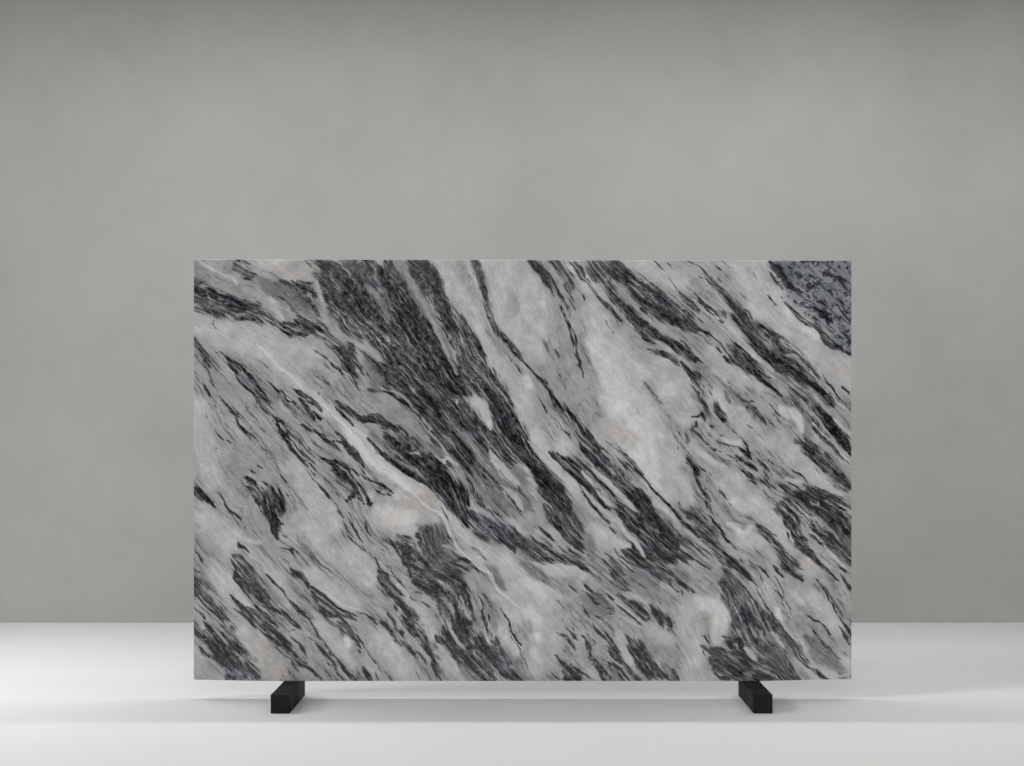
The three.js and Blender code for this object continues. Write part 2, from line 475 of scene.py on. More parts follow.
UPPER_LEFT = {
    "grey": [
        [(31, 86.5, 1.3), (33, 91)],
        [(13, 84, 4), (17, 91, 5), (20, 97, 4)],
        [(22, 82, 3.5), (28, 90, 4), (34, 97, 3)],
    ],
    "mid": [
        [(21.5, 52.5, 2), (25.5, 56.5), (30, 60.5), (33.5, 63, 1.5)],
        [(27, 55, 3), (35, 61)],
    ],
    "pale": [
        [(35.5, 46, 2.5), (48, 57), (60, 67), (75, 82)],
        [(2, 64, 3.5), (4, 76, 5), (6, 88, 5), (8, 97, 4)],
    ],
    "streaky": [
        [(36, 70, 1.5), (42, 77, 2.5), (48, 84), (53, 90, 2)],
        [(24, 52, 2), (29, 58, 2.5), (34, 63, 2)],
        [(58, 38, 2), (65, 42, 3.5), (71, 47, 4), (77, 53, 3)],
    ],
    "dusk": [
        [(9, 64, 1), (10.5, 65.5, 0.7)],
        [(66.5, 81.5, 1.2), (69, 86, 1.5), (72, 89, 1.2)],
        [(42.5, 76.5, 0.7), (46, 79.5), (48.5, 82.5)],
        [(61, 93.5, 1.5), (67.5, 94, 2)],
        [(62, 38, 1.5), (67, 42, 2.2), (72, 47), (74, 51, 1.6)],
        [(44, 57, 0.8), (49, 60, 1.2), (54, 64, 1), (57, 69, 0.8)],
        [(46, 61, 0.6), (50, 66, 0.9), (53, 71, 0.7)],
    ],
    "night": [
        [(20, 72, 0.6), (22, 74.5, 0.8), (25, 77.5, 0.6)],
        [(35.5, 71.5, 0.5), (37.5, 74.5, 0.7), (40.5, 77, 1), (42.5, 80.5, 0.5), (44, 84), (47, 87, 0.6),
         (50, 89, 0.5)],
        [(21, 48, 1), (24, 50.5, 0.7), (27, 54), (30, 56.5), (32.5, 59, 0.5)],
        [(54, 69, 0.6), (55.5, 70.5, 0.9), (56.5, 71.5, 0.6)],
        [(62, 62.5, 0.6), (66, 65.5, 1.2), (71, 68, 1.3), (76, 70, 1.1), (81, 71.5, 1.2), (86, 73),
         (90, 74.5, 1)],
        [(52, 66, 0.6), (55, 69, 0.9), (58, 71, 0.5)],
    ],
    "hair": [
        [(3.5, 46, 0.5), (6.5, 49), (7.5, 52.5), (9.5, 56.5), (11.5, 60), (14, 63), (16, 65.5),
         (18.5, 69, 0.6), (20, 72), (22, 74.5), (25, 77.5), (27, 79.5, 0.5), (29.5, 82, 0.3),
         (31.5, 84.5, 0.4), (34, 88), (36.5, 90.5), (39.5, 95.5)],
        [(9, 55, 0.3), (10.5, 58.5)],
        [(0, 50.5, 0.3), (3, 53.5), (5.5, 57.5), (7.5, 61)],
        [(2, 64.5, 0.4), (5, 67), (6.5, 70.5), (8.5, 74), (10, 76.5), (11.5, 78.5), (14, 80, 0.6),
         (16.5, 81.5, 0.3)],
        [(11, 81.5, 0.5), (12, 84.5), (12.5, 87)],
        [(9.5, 83, 0.4), (10, 84)],
        [(15.5, 84, 0.5), (17, 85.5, 0.6)],
        [(14, 86, 0.4), (15, 87)],
        [(13.5, 62.5, 0.3), (17, 64.5), (19, 67), (20.5, 69)],
        [(15, 46, 0.5), (18, 49), (19.5, 52.5, 0.7), (22.5, 55.5), (25, 58, 0.5), (27.5, 60.5),
         (29, 64, 0.4), (30.5, 66), (33, 69, 0.5), (35.5, 71.5, 0.7)],
        [(50, 89, 0.6), (53, 92, 0.5), (54.5, 94)],
        [(33, 53, 0.4), (35.5, 55.5, 0.7), (38.5, 58.5), (41, 62, 0.5), (43.5, 63, 0.3), (46, 66)],
        [(45.5, 59.5, 0.4), (47.5, 59), (50.5, 61, 0.5), (54.5, 65, 0.4)],
        [(46, 62, 0.4), (49.5, 63), (53, 65)],
        [(48, 67, 0.5), (49, 68)],
        [(51, 68, 0.5), (53, 67, 0.6), (55.5, 70.5, 0.7), (57, 72, 0.6)],
        [(57.5, 70, 0.5), (60.5, 73), (62.5, 76), (64.5, 79)],
        [(44.5, 72, 0.3), (49.5, 75), (54, 76.5, 0.5), (57.5, 78, 0.6), (60.5, 80.5), (64.5, 80.5, 0.7),
         (68.5, 82.5, 0.5)],
        [(62, 75, 0.6), (66, 80, 1), (69.5, 84, 1.1), (73, 90, 1.2), (76, 96, 0.8)],
        [(50.5, 82.5, 0.5), (52, 86)],
        [(56.5, 88.5, 0.4), (60, 90.5, 0.5), (63, 91.5, 0.6), (65, 91)],
        [(60.5, 89, 0.4), (64.5, 90), (68.5, 91.5), (71.5, 93.5), (75, 94.5)],
        [(28, 90, 0.4), (30, 91.5, 0.5), (31.5, 92.5)],
        [(25, 89.5, 0.4), (26, 92.5, 0.7), (29, 94, 0.5)],
        [(22, 94, 0.4), (25, 96, 0.5), (28, 98, 0.4)],
        [(60, 46, 0.35), (65, 49.5), (68.5, 52.5), (71, 55.5), (73, 59.5), (74.5, 62)],
        [(54.5, 58, 0.4), (57.5, 61), (61, 64.5), (67.5, 70, 0.6), (71, 73.5)],
        [(55, 41, 0.3), (60, 45), (65, 48), (70, 52), (72, 56)],
        [(28, 60, 0.8), (33, 68, 1), (38, 75, 0.9), (43, 83, 1.1), (48, 89, 0.8), (53, 96, 0.9),
         (60, 105, 0.8), (66, 112.5, 0.6)],
        [(45, 72, 0.6), (52, 75.5, 0.8), (58, 79, 0.9), (66, 85.5, 1)],
        [(56, 88, 0.6), (62, 90, 0.8), (69, 92.5, 0.9), (75, 96, 0.8), (80, 99, 0.6)],
    ],
    "thread": [
        [(10, 63, 0.35), (12.5, 68.5), (15.5, 73), (18, 77.5), (22, 79.5)],
        [(61, 45.5, 0.3), (66, 49), (69.5, 52), (72.5, 55.5)],
    ],
    "vein": [
        [(35.5, 46, 0.6), (41, 50), (44.5, 53.5), (48, 57.5), (51.5, 60.5), (56, 63.5), (60, 67),
         (64.5, 71.5), (68.5, 75), (72, 79), (75, 82)],
    ],
}

UPPER_INNER_LEFT = {
    "grey": [
        [(75, 56, 5), (85, 62, 7), (96, 70, 5)],
    ],
    "mid": [
        [(78, 77, 1.5), (82.5, 80.5, 1.2), (86.5, 85, 0.8), (90.5, 89, 0.9), (97, 93)],
        [(132, 88, 3), (138, 92, 5), (143, 96)],
        [(78, 44, 3), (80, 50, 3.5), (81, 56, 3)],
    ],
    "pale": [
        [(70, 75, 3.5), (74, 80.5), (77.5, 85.5), (81.5, 89.5), (84.5, 92), (87.5, 95)],
        [(134, 46, 2.5), (137.5, 52, 3), (140.5, 58), (143.5, 62)],
        [(136, 84, 2), (141, 88, 2.5), (147, 92, 1.6)],
    ],
    "white": [
        [(66, 74, 1.2), (71, 81, 2), (77, 87, 2.5), (84, 92, 2.2), (91, 98, 2), (98, 103, 1.8)],
    ],
    "streaky": [
        [(115.5, 75, 1), (120, 79, 1.2), (124.5, 83, 1.5), (128.5, 87, 2)],
        [(132.5, 48.5, 1.5), (137.5, 58), (139.5, 65), (143, 73)],
        [(89, 77, 2), (93, 79.5, 2.5), (95, 83.5, 2)],
    ],
    "gloom": [
        [(72, 28, 5), (82, 40, 6), (92, 52, 7), (98, 60, 6)],
        [(88, 34, 5), (96, 44, 6), (104, 54), (110, 62)],
        [(104, 48, 5), (112, 56), (118, 62, 4)],
        [(88, 50, 7), (97, 58), (105, 66), (112, 74), (118, 80, 5)],
        [(104, 45, 8), (112, 55), (120, 65), (128, 76, 7), (134, 84, 5), (140, 91, 4)],
        [(122, 45, 7), (130, 57, 6), (136, 68, 5), (141, 78), (146, 87, 4), (151, 93, 3)],
        [(104, 76, 3), (110, 82, 4), (116, 88), (122, 94, 3)],
        [(112, 76, 1.5), (117, 81, 2.2), (122, 87, 2.5), (126, 92, 1.6)],
        [(88, 78, 1.5), (94, 84, 2), (100, 90, 1.5)],
    ],
    "dusk": [
        [(95, 46, 6), (104, 56, 7), (112, 66), (118, 76, 5)],
        [(82, 46, 4), (88, 54), (95, 60, 3)],
        [(76.5, 69, 0.8), (80.5, 69.5, 1.4), (84.5, 71, 0.8)],
        [(124.5, 46, 1.5), (129.5, 53, 3), (132.5, 60.5), (136, 67.5), (138.5, 74), (142, 80.5, 3.5),
         (144.5, 84.5, 3)],
        [(100, 80, 2.5), (105, 86, 2)],
        [(83, 74, 2), (90, 76, 2.5), (96, 80, 2)],
        [(106, 40, 3), (112, 48, 4), (118, 56)],
        [(116, 42, 2.5), (121, 50, 3), (126, 58)],
        [(84, 40, 2.5), (90, 45, 3.5), (96, 50, 4), (102, 56)],
    ],
    "night": [
        [(70, 67.5, 0.5), (73, 69.5, 0.7), (77, 71), (81.5, 72.5, 0.8), (86.5, 73, 0.7), (89, 73.5),
         (92, 76), (95.5, 78.5), (99, 81), (101.5, 84.5, 0.9), (104.5, 88, 1), (108.5, 91.5, 1.4),
         (111.5, 94.5)],
        [(83, 77, 0.7), (85.5, 79.5, 2), (89, 83, 2.7), (92.5, 87, 2.4), (97, 89.5, 2), (101, 92, 1.4)],
        [(98, 58, 1.7), (104, 63, 2), (109, 68, 1.7)],
        [(112, 46, 2), (116, 56), (120, 60, 1.4)],
        [(104, 70, 1.6), (108, 74, 2), (112, 78, 1.6)],
        [(78, 57.5, 1.1), (79, 58.5)],
        [(98.5, 66.5, 0.7), (100.5, 70, 0.6)],
        [(116, 78.5, 1.6), (120, 84), (124, 89.5, 1.2)],
        [(139.5, 76, 1.2), (142, 80.5, 1.8), (144, 84, 1.2)],
        [(111.5, 90, 1.1), (113, 91.5)],
        [(98, 60, 3), (103, 66), (107, 71), (111, 76, 2)],
        [(110, 50, 4), (115, 56), (119, 60, 3)],
        [(128, 58, 2), (133, 66, 2.5), (137, 73), (141, 80, 3), (146, 88), (150, 93, 2)],
        [(104, 42, 1.5), (110, 47, 2.5), (115, 52), (119, 57, 2)],
        [(76, 58, 0.7), (79, 58.5, 1.2), (81, 58, 0.5)],
        [(81, 57, 0.4), (85, 58.5, 0.7), (90, 61, 0.5), (95, 63.5, 0.4)],
        [(76, 78, 0.6), (83, 85.5, 0.7), (90, 91, 0.8), (97, 95.5, 0.9), (104, 99.5, 0.8)],
    ],
    "mist": [
        [(80.5, 50.5, 3), (83, 52)],
        [(98, 77.5, 1.5), (101.5, 82.5, 2), (106, 84, 2.5), (111.5, 86.5, 2)],
        [(116, 76, 1), (120, 80, 1.5), (125, 85, 2), (130, 90), (135, 94, 1.5)],
    ],
    "strand": [
        [(96.5, 73.5, 0.8), (101, 74.5, 1)],
        [(103, 74, 0.5), (104.5, 77), (108, 79.5)],
        [(114, 49, 0.7), (116.5, 51.5)],
        [(121, 60.5, 0.6), (124, 63, 1.5), (126.5, 66, 2), (128.5, 69, 1.8), (130.5, 73, 0.8),
         (132, 76, 0.5)],
        [(95, 85.5, 0.5), (98, 85, 0.6), (100, 86, 0.4)],
    ],
    "flag": [
        [(115, 61, 0.6), (116, 64, 0.7)],
        [(109.5, 87, 0.5), (110, 89.5, 0.7), (112, 88), (114.5, 89.5), (116.5, 91.5, 0.5)],
        [(121, 61, 0.5), (124, 63, 1.2), (127, 67), (129, 71, 0.8), (131, 75.5, 0.4)],
        [(123, 60, 1.5), (128, 66, 2.2), (132, 74, 1.6)],
        [(130, 84, 1.5), (136, 92, 2), (142, 100, 1.5)],
    ],
    "hair": [
        [(82.5, 57.5, 0.5), (85.5, 59, 0.6)],
        [(88, 60, 0.5), (91.5, 62.5), (96, 64.5), (98.5, 66.5, 0.7)],
        [(75.5, 77, 0.3), (77.5, 79), (82, 83), (86, 87.5), (90, 90.5), (95, 94)],
        [(70, 81.5, 0.4), (72.5, 86), (74.5, 90.5), (75.5, 94)],
        [(70, 92.5, 0.4), (75, 94.5)],
        [(79.5, 92.5, 0.5), (80.5, 93)],
        [(133, 80, 0.5), (138, 86, 0.6), (143, 91, 0.6)],
    ],
    "thread": [
        [(97, 51, 0.4), (101, 54.5)],
        [(96, 79, 0.3), (98, 83)],
        [(119, 78, 0.35), (123, 83), (127, 88), (131, 93)],
        [(80.5, 55.5, 0.5), (83, 57), (88, 58.5)],
    ],
    "vein": [
        [(121.5, 52.5, 0.4), (123.5, 55)],
        [(107.5, 49, 0.3), (111, 51.5), (112.5, 53)],
        [(71, 77.5, 0.7), (75, 82.5), (78, 87.5), (81.5, 91), (84.5, 94)],
        [(63, 69, 0.7), (68, 75, 0.9), (73, 82, 0.9), (78, 88.5, 1.1), (84, 93.5, 1.2), (90, 98.5, 1.1),
         (96, 103, 0.9)],
    ],
}

UPPER_INNER_RIGHT = {
    "grey": [
        [(158, 46, 5), (168, 60, 6), (176, 75, 5)],
    ],
    "pale": [
        [(182, 48, 5), (190, 62, 9), (200, 78), (208, 92, 7)],
        [(143, 55.5, 4), (145.5, 64.5, 5), (149.5, 73), (152, 80.5, 4), (156, 87, 3), (160.5, 91.5, 2.5)],
        [(161, 81, 3), (163, 84)],
        [(206, 50, 5), (212, 58, 6), (217, 66, 5)],
        [(208, 56, 4), (213, 64, 4.5), (217, 72, 3)],
        [(209, 42, 3.5), (215, 48, 4), (221, 55, 3.5)],
        [(176, 78, 3), (182, 85, 3.5), (188, 92, 3)],
        [(210, 56, 2.5), (216, 63, 3), (222, 70, 2)],
    ],
    "white": [
        [(146.5, 53, 2), (147, 55.5)],
        [(187, 70, 4), (193, 80, 5), (198, 90, 5), (203, 99, 3)],
        [(183, 61, 4), (190, 70, 5), (196, 79, 5), (201, 88, 4)],
        [(190, 58, 4), (197, 66, 5), (203, 76, 4)],
    ],
    "cream": [
        [(182, 75, 4), (193, 80, 3)],
    ],
    "gloom": [
        [(158, 60, 2), (164, 68, 2.5), (170, 76, 3.5), (177, 84, 4), (184, 92, 4.5), (191, 100, 5),
         (198, 108)],
    ],
    "dusk": [
        [(167, 77.5, 1.5), (171, 80.5, 2.5), (173.5, 84, 3), (177, 87.5, 3.5), (181.5, 91),
         (184.5, 94.5, 4)],
        [(156.5, 84, 1), (160, 87, 1.3), (164, 89.5, 1), (167, 91.5), (171, 94.5, 1.2)],
        [(171, 90, 1), (174.5, 93)],
    ],
    "night": [
        [(147, 47.5, 0.8), (150, 50.5, 0.6), (153.5, 54, 0.7), (156.5, 57.5), (159, 61.5, 0.8),
         (162, 65, 0.7), (165, 67.5), (168.5, 71.5, 0.8), (171.5, 75, 1), (174.5, 78, 1.2), (177, 80.5, 1),
         (178.5, 83.5, 0.5), (181.5, 86.5, 0.5), (184, 89.5, 0.7), (187, 92.5, 0.8), (190, 95.5)],
        [(178, 89, 1.4), (181.5, 91.5, 1.8), (184, 94, 1.7)],
        [(140, 68, 0.3), (143, 73, 0.4), (145.5, 77.5, 0.5), (147, 81.5), (149.5, 86), (152.5, 89.5, 0.5),
         (156, 93), (158, 95.5)],
        [(141, 77, 1.4), (142.5, 82.5, 2), (146.5, 87, 1.7), (149, 90), (151.5, 93, 1)],
    ],
    "mist": [
        [(160, 66, 1), (165, 74, 1.3), (170, 82, 1)],
    ],
    "strand": [
        [(180, 84.5, 0.7), (183.5, 87, 1), (186, 90, 1.2), (190, 93)],
    ],
    "hair": [
        [(150, 49.5, 0.4), (153, 52.5), (156, 55)],
        [(156, 58.5, 0.6), (159, 63), (162, 67.5)],
        [(159, 69, 0.5), (161, 73), (162.5, 75.5), (166, 78.5)],
        [(164.5, 92, 0.6), (168.5, 95.5)],
        [(167, 88.5, 0.4), (171, 89.5)],
        [(159, 55, 0.4), (160.5, 56.5, 0.5), (161.5, 58, 0.3)],
        [(161, 50, 0.6), (162, 52.5, 0.5), (164, 55.5), (166, 59), (168, 62.5, 0.4), (170.5, 65)],
        [(169, 46, 0.5), (171, 49), (171.5, 52.5), (172, 54.5)],
        [(173.5, 55, 0.4), (174.5, 58)],
        [(212.5, 81.5, 0.5), (214, 84.5)],
        [(213.5, 75.5, 0.7), (214.5, 77.5)],
    ],
    "faint": [
        [(170.5, 65, 0.4), (175.5, 72)],
        [(204, 59.5, 0.7), (205, 60.5)],
        [(202, 66.5, 0.6), (203, 68)],
        [(205.5, 68.5, 0.6), (206, 69.5)],
        [(207, 74, 0.5), (207.5, 75)],
        [(181, 79.5, 0.4), (185, 82.5), (189, 85.5, 0.8), (192.5, 89, 1), (195.5, 91.5, 1.2), (198.5, 95)],
        [(150, 58, 0.5), (155, 66, 0.5), (160, 73, 0.5), (166, 80, 0.5)],
    ],
    "thread": [
        [(161, 65, 0.4), (164.5, 69), (167, 73.5), (170, 77.5), (173.5, 80.5), (176.5, 82.5)],
        [(155, 65, 0.4), (158, 70), (160, 74.5), (163, 79)],
        [(155.5, 72, 0.35), (157.5, 75), (157.5, 77.5), (159.5, 79.5)],
        [(169, 82.5, 0.5), (171.5, 87), (175, 90), (178.5, 94)],
        [(144, 78.5, 0.3), (146.5, 83), (148.5, 87), (150.5, 90)],
        [(154, 70, 0.35), (157, 75), (159, 79)],
        [(158, 64, 0.35), (162, 71), (166, 77), (171, 84)],
        [(163, 62, 0.3), (168, 69), (172, 75)],
    ],
}

UPPER_RIGHT = {
    "mid": [
        [(265, 70.5, 1), (266, 71.5)],
        [(270, 72, 2.7), (271, 77, 2)],
    ],
    "pale": [
        [(243, 52, 3), (249, 56, 2)],
        [(257, 79.5, 4), (263, 84.5, 3.5), (268, 88.5, 3), (272.5, 91.5, 2.5)],
        [(241, 66.5, 1.8), (246, 73), (250.5, 78.5), (254, 82)],
        [(220, 80.5, 1.5), (224.5, 85.5), (229.5, 89.5), (234, 93)],
        [(233, 79, 1.2), (237, 80), (241, 81)],
        [(229.5, 49, 1.5), (236, 54)],
        [(228, 41, 3), (235, 48, 3.5), (242, 55, 3)],
        [(230, 60, 3), (236, 68, 3.5), (243, 76, 3)],
    ],
    "white": [
        [(258.5, 65, 1), (261, 67, 2), (265, 68, 2.5), (267, 72.5, 2), (268, 76, 1)],
    ],
    "cream": [
        [(282, 48.5, 3), (285, 52)],
    ],
    "streaky": [
        [(218, 48, 2.2), (224, 58, 2.8), (230, 68), (236, 76, 2.2)],
        [(255.5, 69, 1), (259, 73)],
        [(268, 80, 2), (275, 87, 3), (282, 94, 2.5)],
    ],
    "gloom": [
        [(236, 38, 3), (242, 44, 3.5), (248, 50, 3), (254, 55, 2.5)],
        [(266, 52, 4), (274, 58), (282, 64)],
        [(272, 66, 3), (279, 74, 4), (286, 82, 5)],
        [(262, 56, 2), (268, 62, 3), (274, 68, 4), (281, 76, 5), (288, 84)],
        [(270, 80, 1.5), (276, 86, 2.2), (282, 92, 2)],
    ],
    "dusk": [
        [(269, 78.5, 1), (272.5, 82.5, 1.5), (277, 84.5, 1), (280, 88, 1.5), (283.5, 92), (287, 95)],
        [(241, 62, 0.5), (244.5, 62.5, 0.7), (247.5, 63, 0.5)],
        [(243, 64.5, 0.5), (246.5, 65, 0.8), (248.5, 68, 1.2), (251.5, 71.5, 1), (253.5, 73.5, 0.6)],
        [(216, 48, 2), (219.5, 50.5, 1.5), (222.5, 52.5, 1), (224, 55, 0.8)],
        [(233.5, 57.5, 0.8), (235, 61, 1), (236, 64, 0.8)],
        [(216.5, 76, 0.6), (218, 82.5, 0.8)],
        [(270, 62, 2), (276, 68, 3), (283, 76, 3.5), (289, 83, 3)],
    ],
    "night": [
        [(246, 49, 1.4), (249.5, 52, 0.9), (253, 55, 0.7), (256.5, 57.5, 0.6), (259.5, 60.5, 0.5)],
        [(246, 36, 1.4), (252, 41, 2.3), (258, 45, 2.8), (264, 49), (270, 53, 2.3), (276, 57.5, 1.6),
         (281, 62, 1)],
        [(272, 64, 0.5), (275, 66, 0.9), (278.5, 69.5, 1.4), (281.5, 73.5, 1.5), (283.5, 77.5, 1.7),
         (286.5, 80.5), (290, 84.5)],
        [(264, 80.5, 0.5), (268, 82.5, 0.9), (271.5, 85.5, 1.2), (274.5, 88.5, 1.4), (278, 91, 1.5),
         (281.5, 94.5, 1.7)],
        [(218.5, 69, 0.4), (221.5, 69.5, 0.5), (224, 68.5, 1), (225, 71.5, 0.8)],
        [(229.5, 68, 0.5), (231.5, 70, 0.6), (233.5, 73, 0.7)],
        [(221.5, 70, 0.3), (221.5, 73.5, 0.35), (220, 75, 0.6), (222.5, 77, 0.7), (224, 79, 0.5),
         (227, 81.5, 0.35), (230, 83.5), (234, 85.5, 0.3)],
        [(242, 89.5, 0.6), (246, 91, 0.8), (248.5, 93.5)],
        [(239.5, 82.5, 0.5), (242, 84.5, 0.8), (245, 87, 1), (246.5, 88.5, 0.5)],
        [(238, 85.5, 0.5), (241, 88, 0.7), (244, 89.5, 0.5)],
        [(248.5, 87, 0.4), (250, 89.5, 0.6), (252.5, 92.5, 0.8), (255, 95)],
        [(217, 86, 1), (219, 89.5, 1.2), (221, 92, 1), (222, 94, 0.8)],
    ],
    "mist": [
        [(259.5, 53, 2), (261, 54.5)],
        [(269.5, 57, 1.5), (271, 58)],
    ],
    "strand": [
        [(258.5, 50.5, 0.8), (262.5, 53), (266.5, 56)],
        [(268, 62, 0.8), (274, 70, 1), (281, 79, 1), (288, 87, 0.8)],
    ],
    "flag": [
        [(282.5, 70, 1), (286, 74.5), (289.5, 77.5)],
    ],
    "hair": [
        [(259.5, 60.5, 0.6), (262, 63.5, 0.4)],
        [(251, 49.5, 0.7), (255, 52.5)],
        [(270, 46, 0.6), (272.5, 49.5)],
        [(276.5, 50, 0.4), (280.5, 55), (284, 60), (289, 64.5)],
        [(285.5, 56, 0.6), (289.5, 59)],
        [(287.5, 54.5, 0.4), (288.5, 55)],
        [(269.5, 65, 0.5), (272, 64)],
        [(270.5, 65, 0.4), (273.5, 70), (277.5, 75), (281, 79)],
        [(282.5, 82, 0.6), (286, 87), (289.5, 91)],
        [(235, 52, 0.4), (236, 54, 0.5), (238.5, 56)],
        [(242, 55.5, 0.4), (245, 58), (248, 60.5)],
        [(249.5, 60, 0.4), (253.5, 63.5), (256.5, 66.5), (259, 69.5)],
        [(224, 55, 0.7), (226.5, 57.5, 0.5), (229, 60, 0.4)],
        [(220, 55, 0.5), (222, 59), (225, 63.5)],
        [(226, 61, 0.4), (226.5, 62)],
        [(226.5, 72, 0.6), (228.5, 75)],
        [(234, 85.5, 0.5), (238, 87.5), (242, 89.5, 0.7)],
        [(230, 79.5, 0.4), (233, 81), (236, 82), (239.5, 82.5, 0.6)],
        [(240, 77.5, 0.4), (242.5, 80.5, 0.6), (244.5, 84, 0.7), (246, 87.5)],
        [(236.5, 74.5, 0.4), (239.5, 77)],
        [(229.5, 76, 0.4), (232.5, 78)],
        [(253, 88, 0.6), (256.5, 90.5)],
        [(222, 91, 0.6), (226, 94)],
        [(244, 72, 0.3), (248, 76.5), (252, 80), (254.5, 83)],
    ],
    "vein": [
        [(271, 48, 0.4), (274, 52.5), (279, 57.5), (283.5, 62), (288.5, 66.5)],
        [(272.5, 71.5, 0.5), (277, 77), (282.5, 82), (287, 87), (290, 90)],
    ],
}

LOWER_LEFT = {
    "grey": [
        [(24, 133, 3), (31, 140)],
    ],
    "pale": [
        [(25.5, 130.5, 0.6), (30, 134.5), (33.5, 139)],
        [(28, 128.5, 0.6), (32.5, 134), (36.5, 138.5)],
        [(17.5, 119, 0.8), (23, 123.5), (29, 125.5)],
        [(47.5, 117, 0.8), (47.5, 121, 1)],
        [(45, 92, 4), (51, 100, 5), (56, 108, 5), (61, 116, 4)],
        [(4, 112, 4), (10, 119, 5), (16, 126, 4)],
        [(48, 114, 4), (54, 122, 4), (60, 129, 3)],
    ],
    "streaky": [
        [(22, 96, 3), (28, 103, 4), (33, 110)],
        [(66, 96, 1.5), (72, 102, 2.5), (78, 108, 1.8)],
    ],
    "gloom": [
        [(62, 92, 3), (67, 97, 4), (70, 102, 3)],
    ],
    "dusk": [
        [(61.5, 93, 1.5), (65.5, 96.5, 3), (69, 99)],
        [(16, 130.5, 0.6), (20, 131, 0.8), (22.5, 133), (26, 136, 0.6)],
        [(30, 100, 2), (33, 106, 4), (35, 112, 4.5), (36, 118, 3)],
    ],
    "night": [
        [(0, 101, 0.8), (2.5, 102.5, 1.3), (5.5, 105.5, 1.4), (8, 108, 0.8), (9.5, 109, 0.3)],
        [(11, 102, 0.3), (12, 104, 0.5), (13.5, 107.5), (15, 111, 0.7), (17.5, 112.5, 0.5),
         (20, 115, 0.3)],
        [(23.5, 96, 0.7), (26.5, 97.5, 1.3), (28, 99.5, 0.6)],
        [(30, 97.5, 0.4), (32, 98.5, 0.5), (34, 101, 0.7), (35.5, 104), (38, 107, 0.4), (39.5, 111, 0.3)],
        [(27, 105, 0.4), (29, 107.5, 0.7), (30, 110.5)],
        [(31.5, 107, 1), (33, 109, 2.2), (34.5, 111, 2.4), (34.5, 114, 1.9), (35, 117, 1.6),
         (34.5, 119, 1.2), (36, 122.5), (37, 123.5, 0.5)],
        [(37, 115, 1.2), (40, 117, 0.6)],
        [(19, 123.5, 0.4), (20.5, 126.5, 0.7), (23, 127.5, 0.5), (25, 129.5, 0.3)],
        [(41, 127.5, 0.6), (43.5, 128.5, 0.8), (45, 130.5, 0.5)],
        [(41.5, 135, 0.3), (43.5, 137.5, 0.5), (45.5, 139.5, 0.8), (48, 141, 1)],
        [(16.5, 133, 0.4), (18.5, 136.5, 0.5), (19.5, 139.5, 1.2), (22, 141.5)],
        [(70.5, 97.5, 0.9), (71.5, 99.5, 1.2), (71.5, 101, 1.1), (70, 103.5, 0.9), (67.5, 106.5, 1)],
        [(62, 110.5, 0.5), (64.5, 112, 0.7), (66, 115, 0.4)],
        [(31, 104, 3), (34, 110, 4), (36, 116, 3), (36, 122, 2)],
        [(37, 101, 1), (39.5, 107, 1.3), (39.5, 113, 1.5)],
        [(0, 101, 1.5), (4, 105, 2), (9, 109, 1.5)],
    ],
    "hair": [
        [(20, 96, 0.4), (23, 97.5)],
        [(31, 114, 0.6), (33, 119)],
        [(37.5, 120.5, 0.3), (41.5, 122.5)],
        [(38, 126.5, 0.3), (41, 127.5, 0.6), (43.5, 128.5), (45, 130.5), (47.5, 133.5, 0.3)],
        [(37.5, 92.5, 0.4), (39, 95.5, 0.5), (41, 98), (42.5, 100, 0.3)],
        [(40.5, 103.5, 0.4), (43.5, 105)],
        [(0, 127, 0.4), (3, 131.5), (5.5, 135.5), (7, 138.5)],
        [(0.5, 125, 0.3), (0.5, 135)],
        [(0, 136, 0.5), (3, 138), (5, 140)],
        [(13.5, 133.5, 0.4), (14, 134)],
        [(31.5, 138, 0.5), (34.5, 141, 0.7)],
        [(8, 138, 0.4), (9, 139)],
        [(50, 93, 0.4), (53, 97, 0.5), (56, 100.5, 0.3), (59.5, 104.5, 0.4), (62, 107.5, 0.5),
         (66, 111, 0.4)],
        [(66, 115, 0.3), (67.5, 119.5), (69.5, 123.5, 0.4), (72.5, 126.5), (75, 129)],
        [(67.5, 110.5, 0.4), (69.5, 114.5), (71, 119, 0.5), (73, 122.5), (75, 125.5)],
        [(62, 102, 0.4), (64, 104.5)],
    ],
}

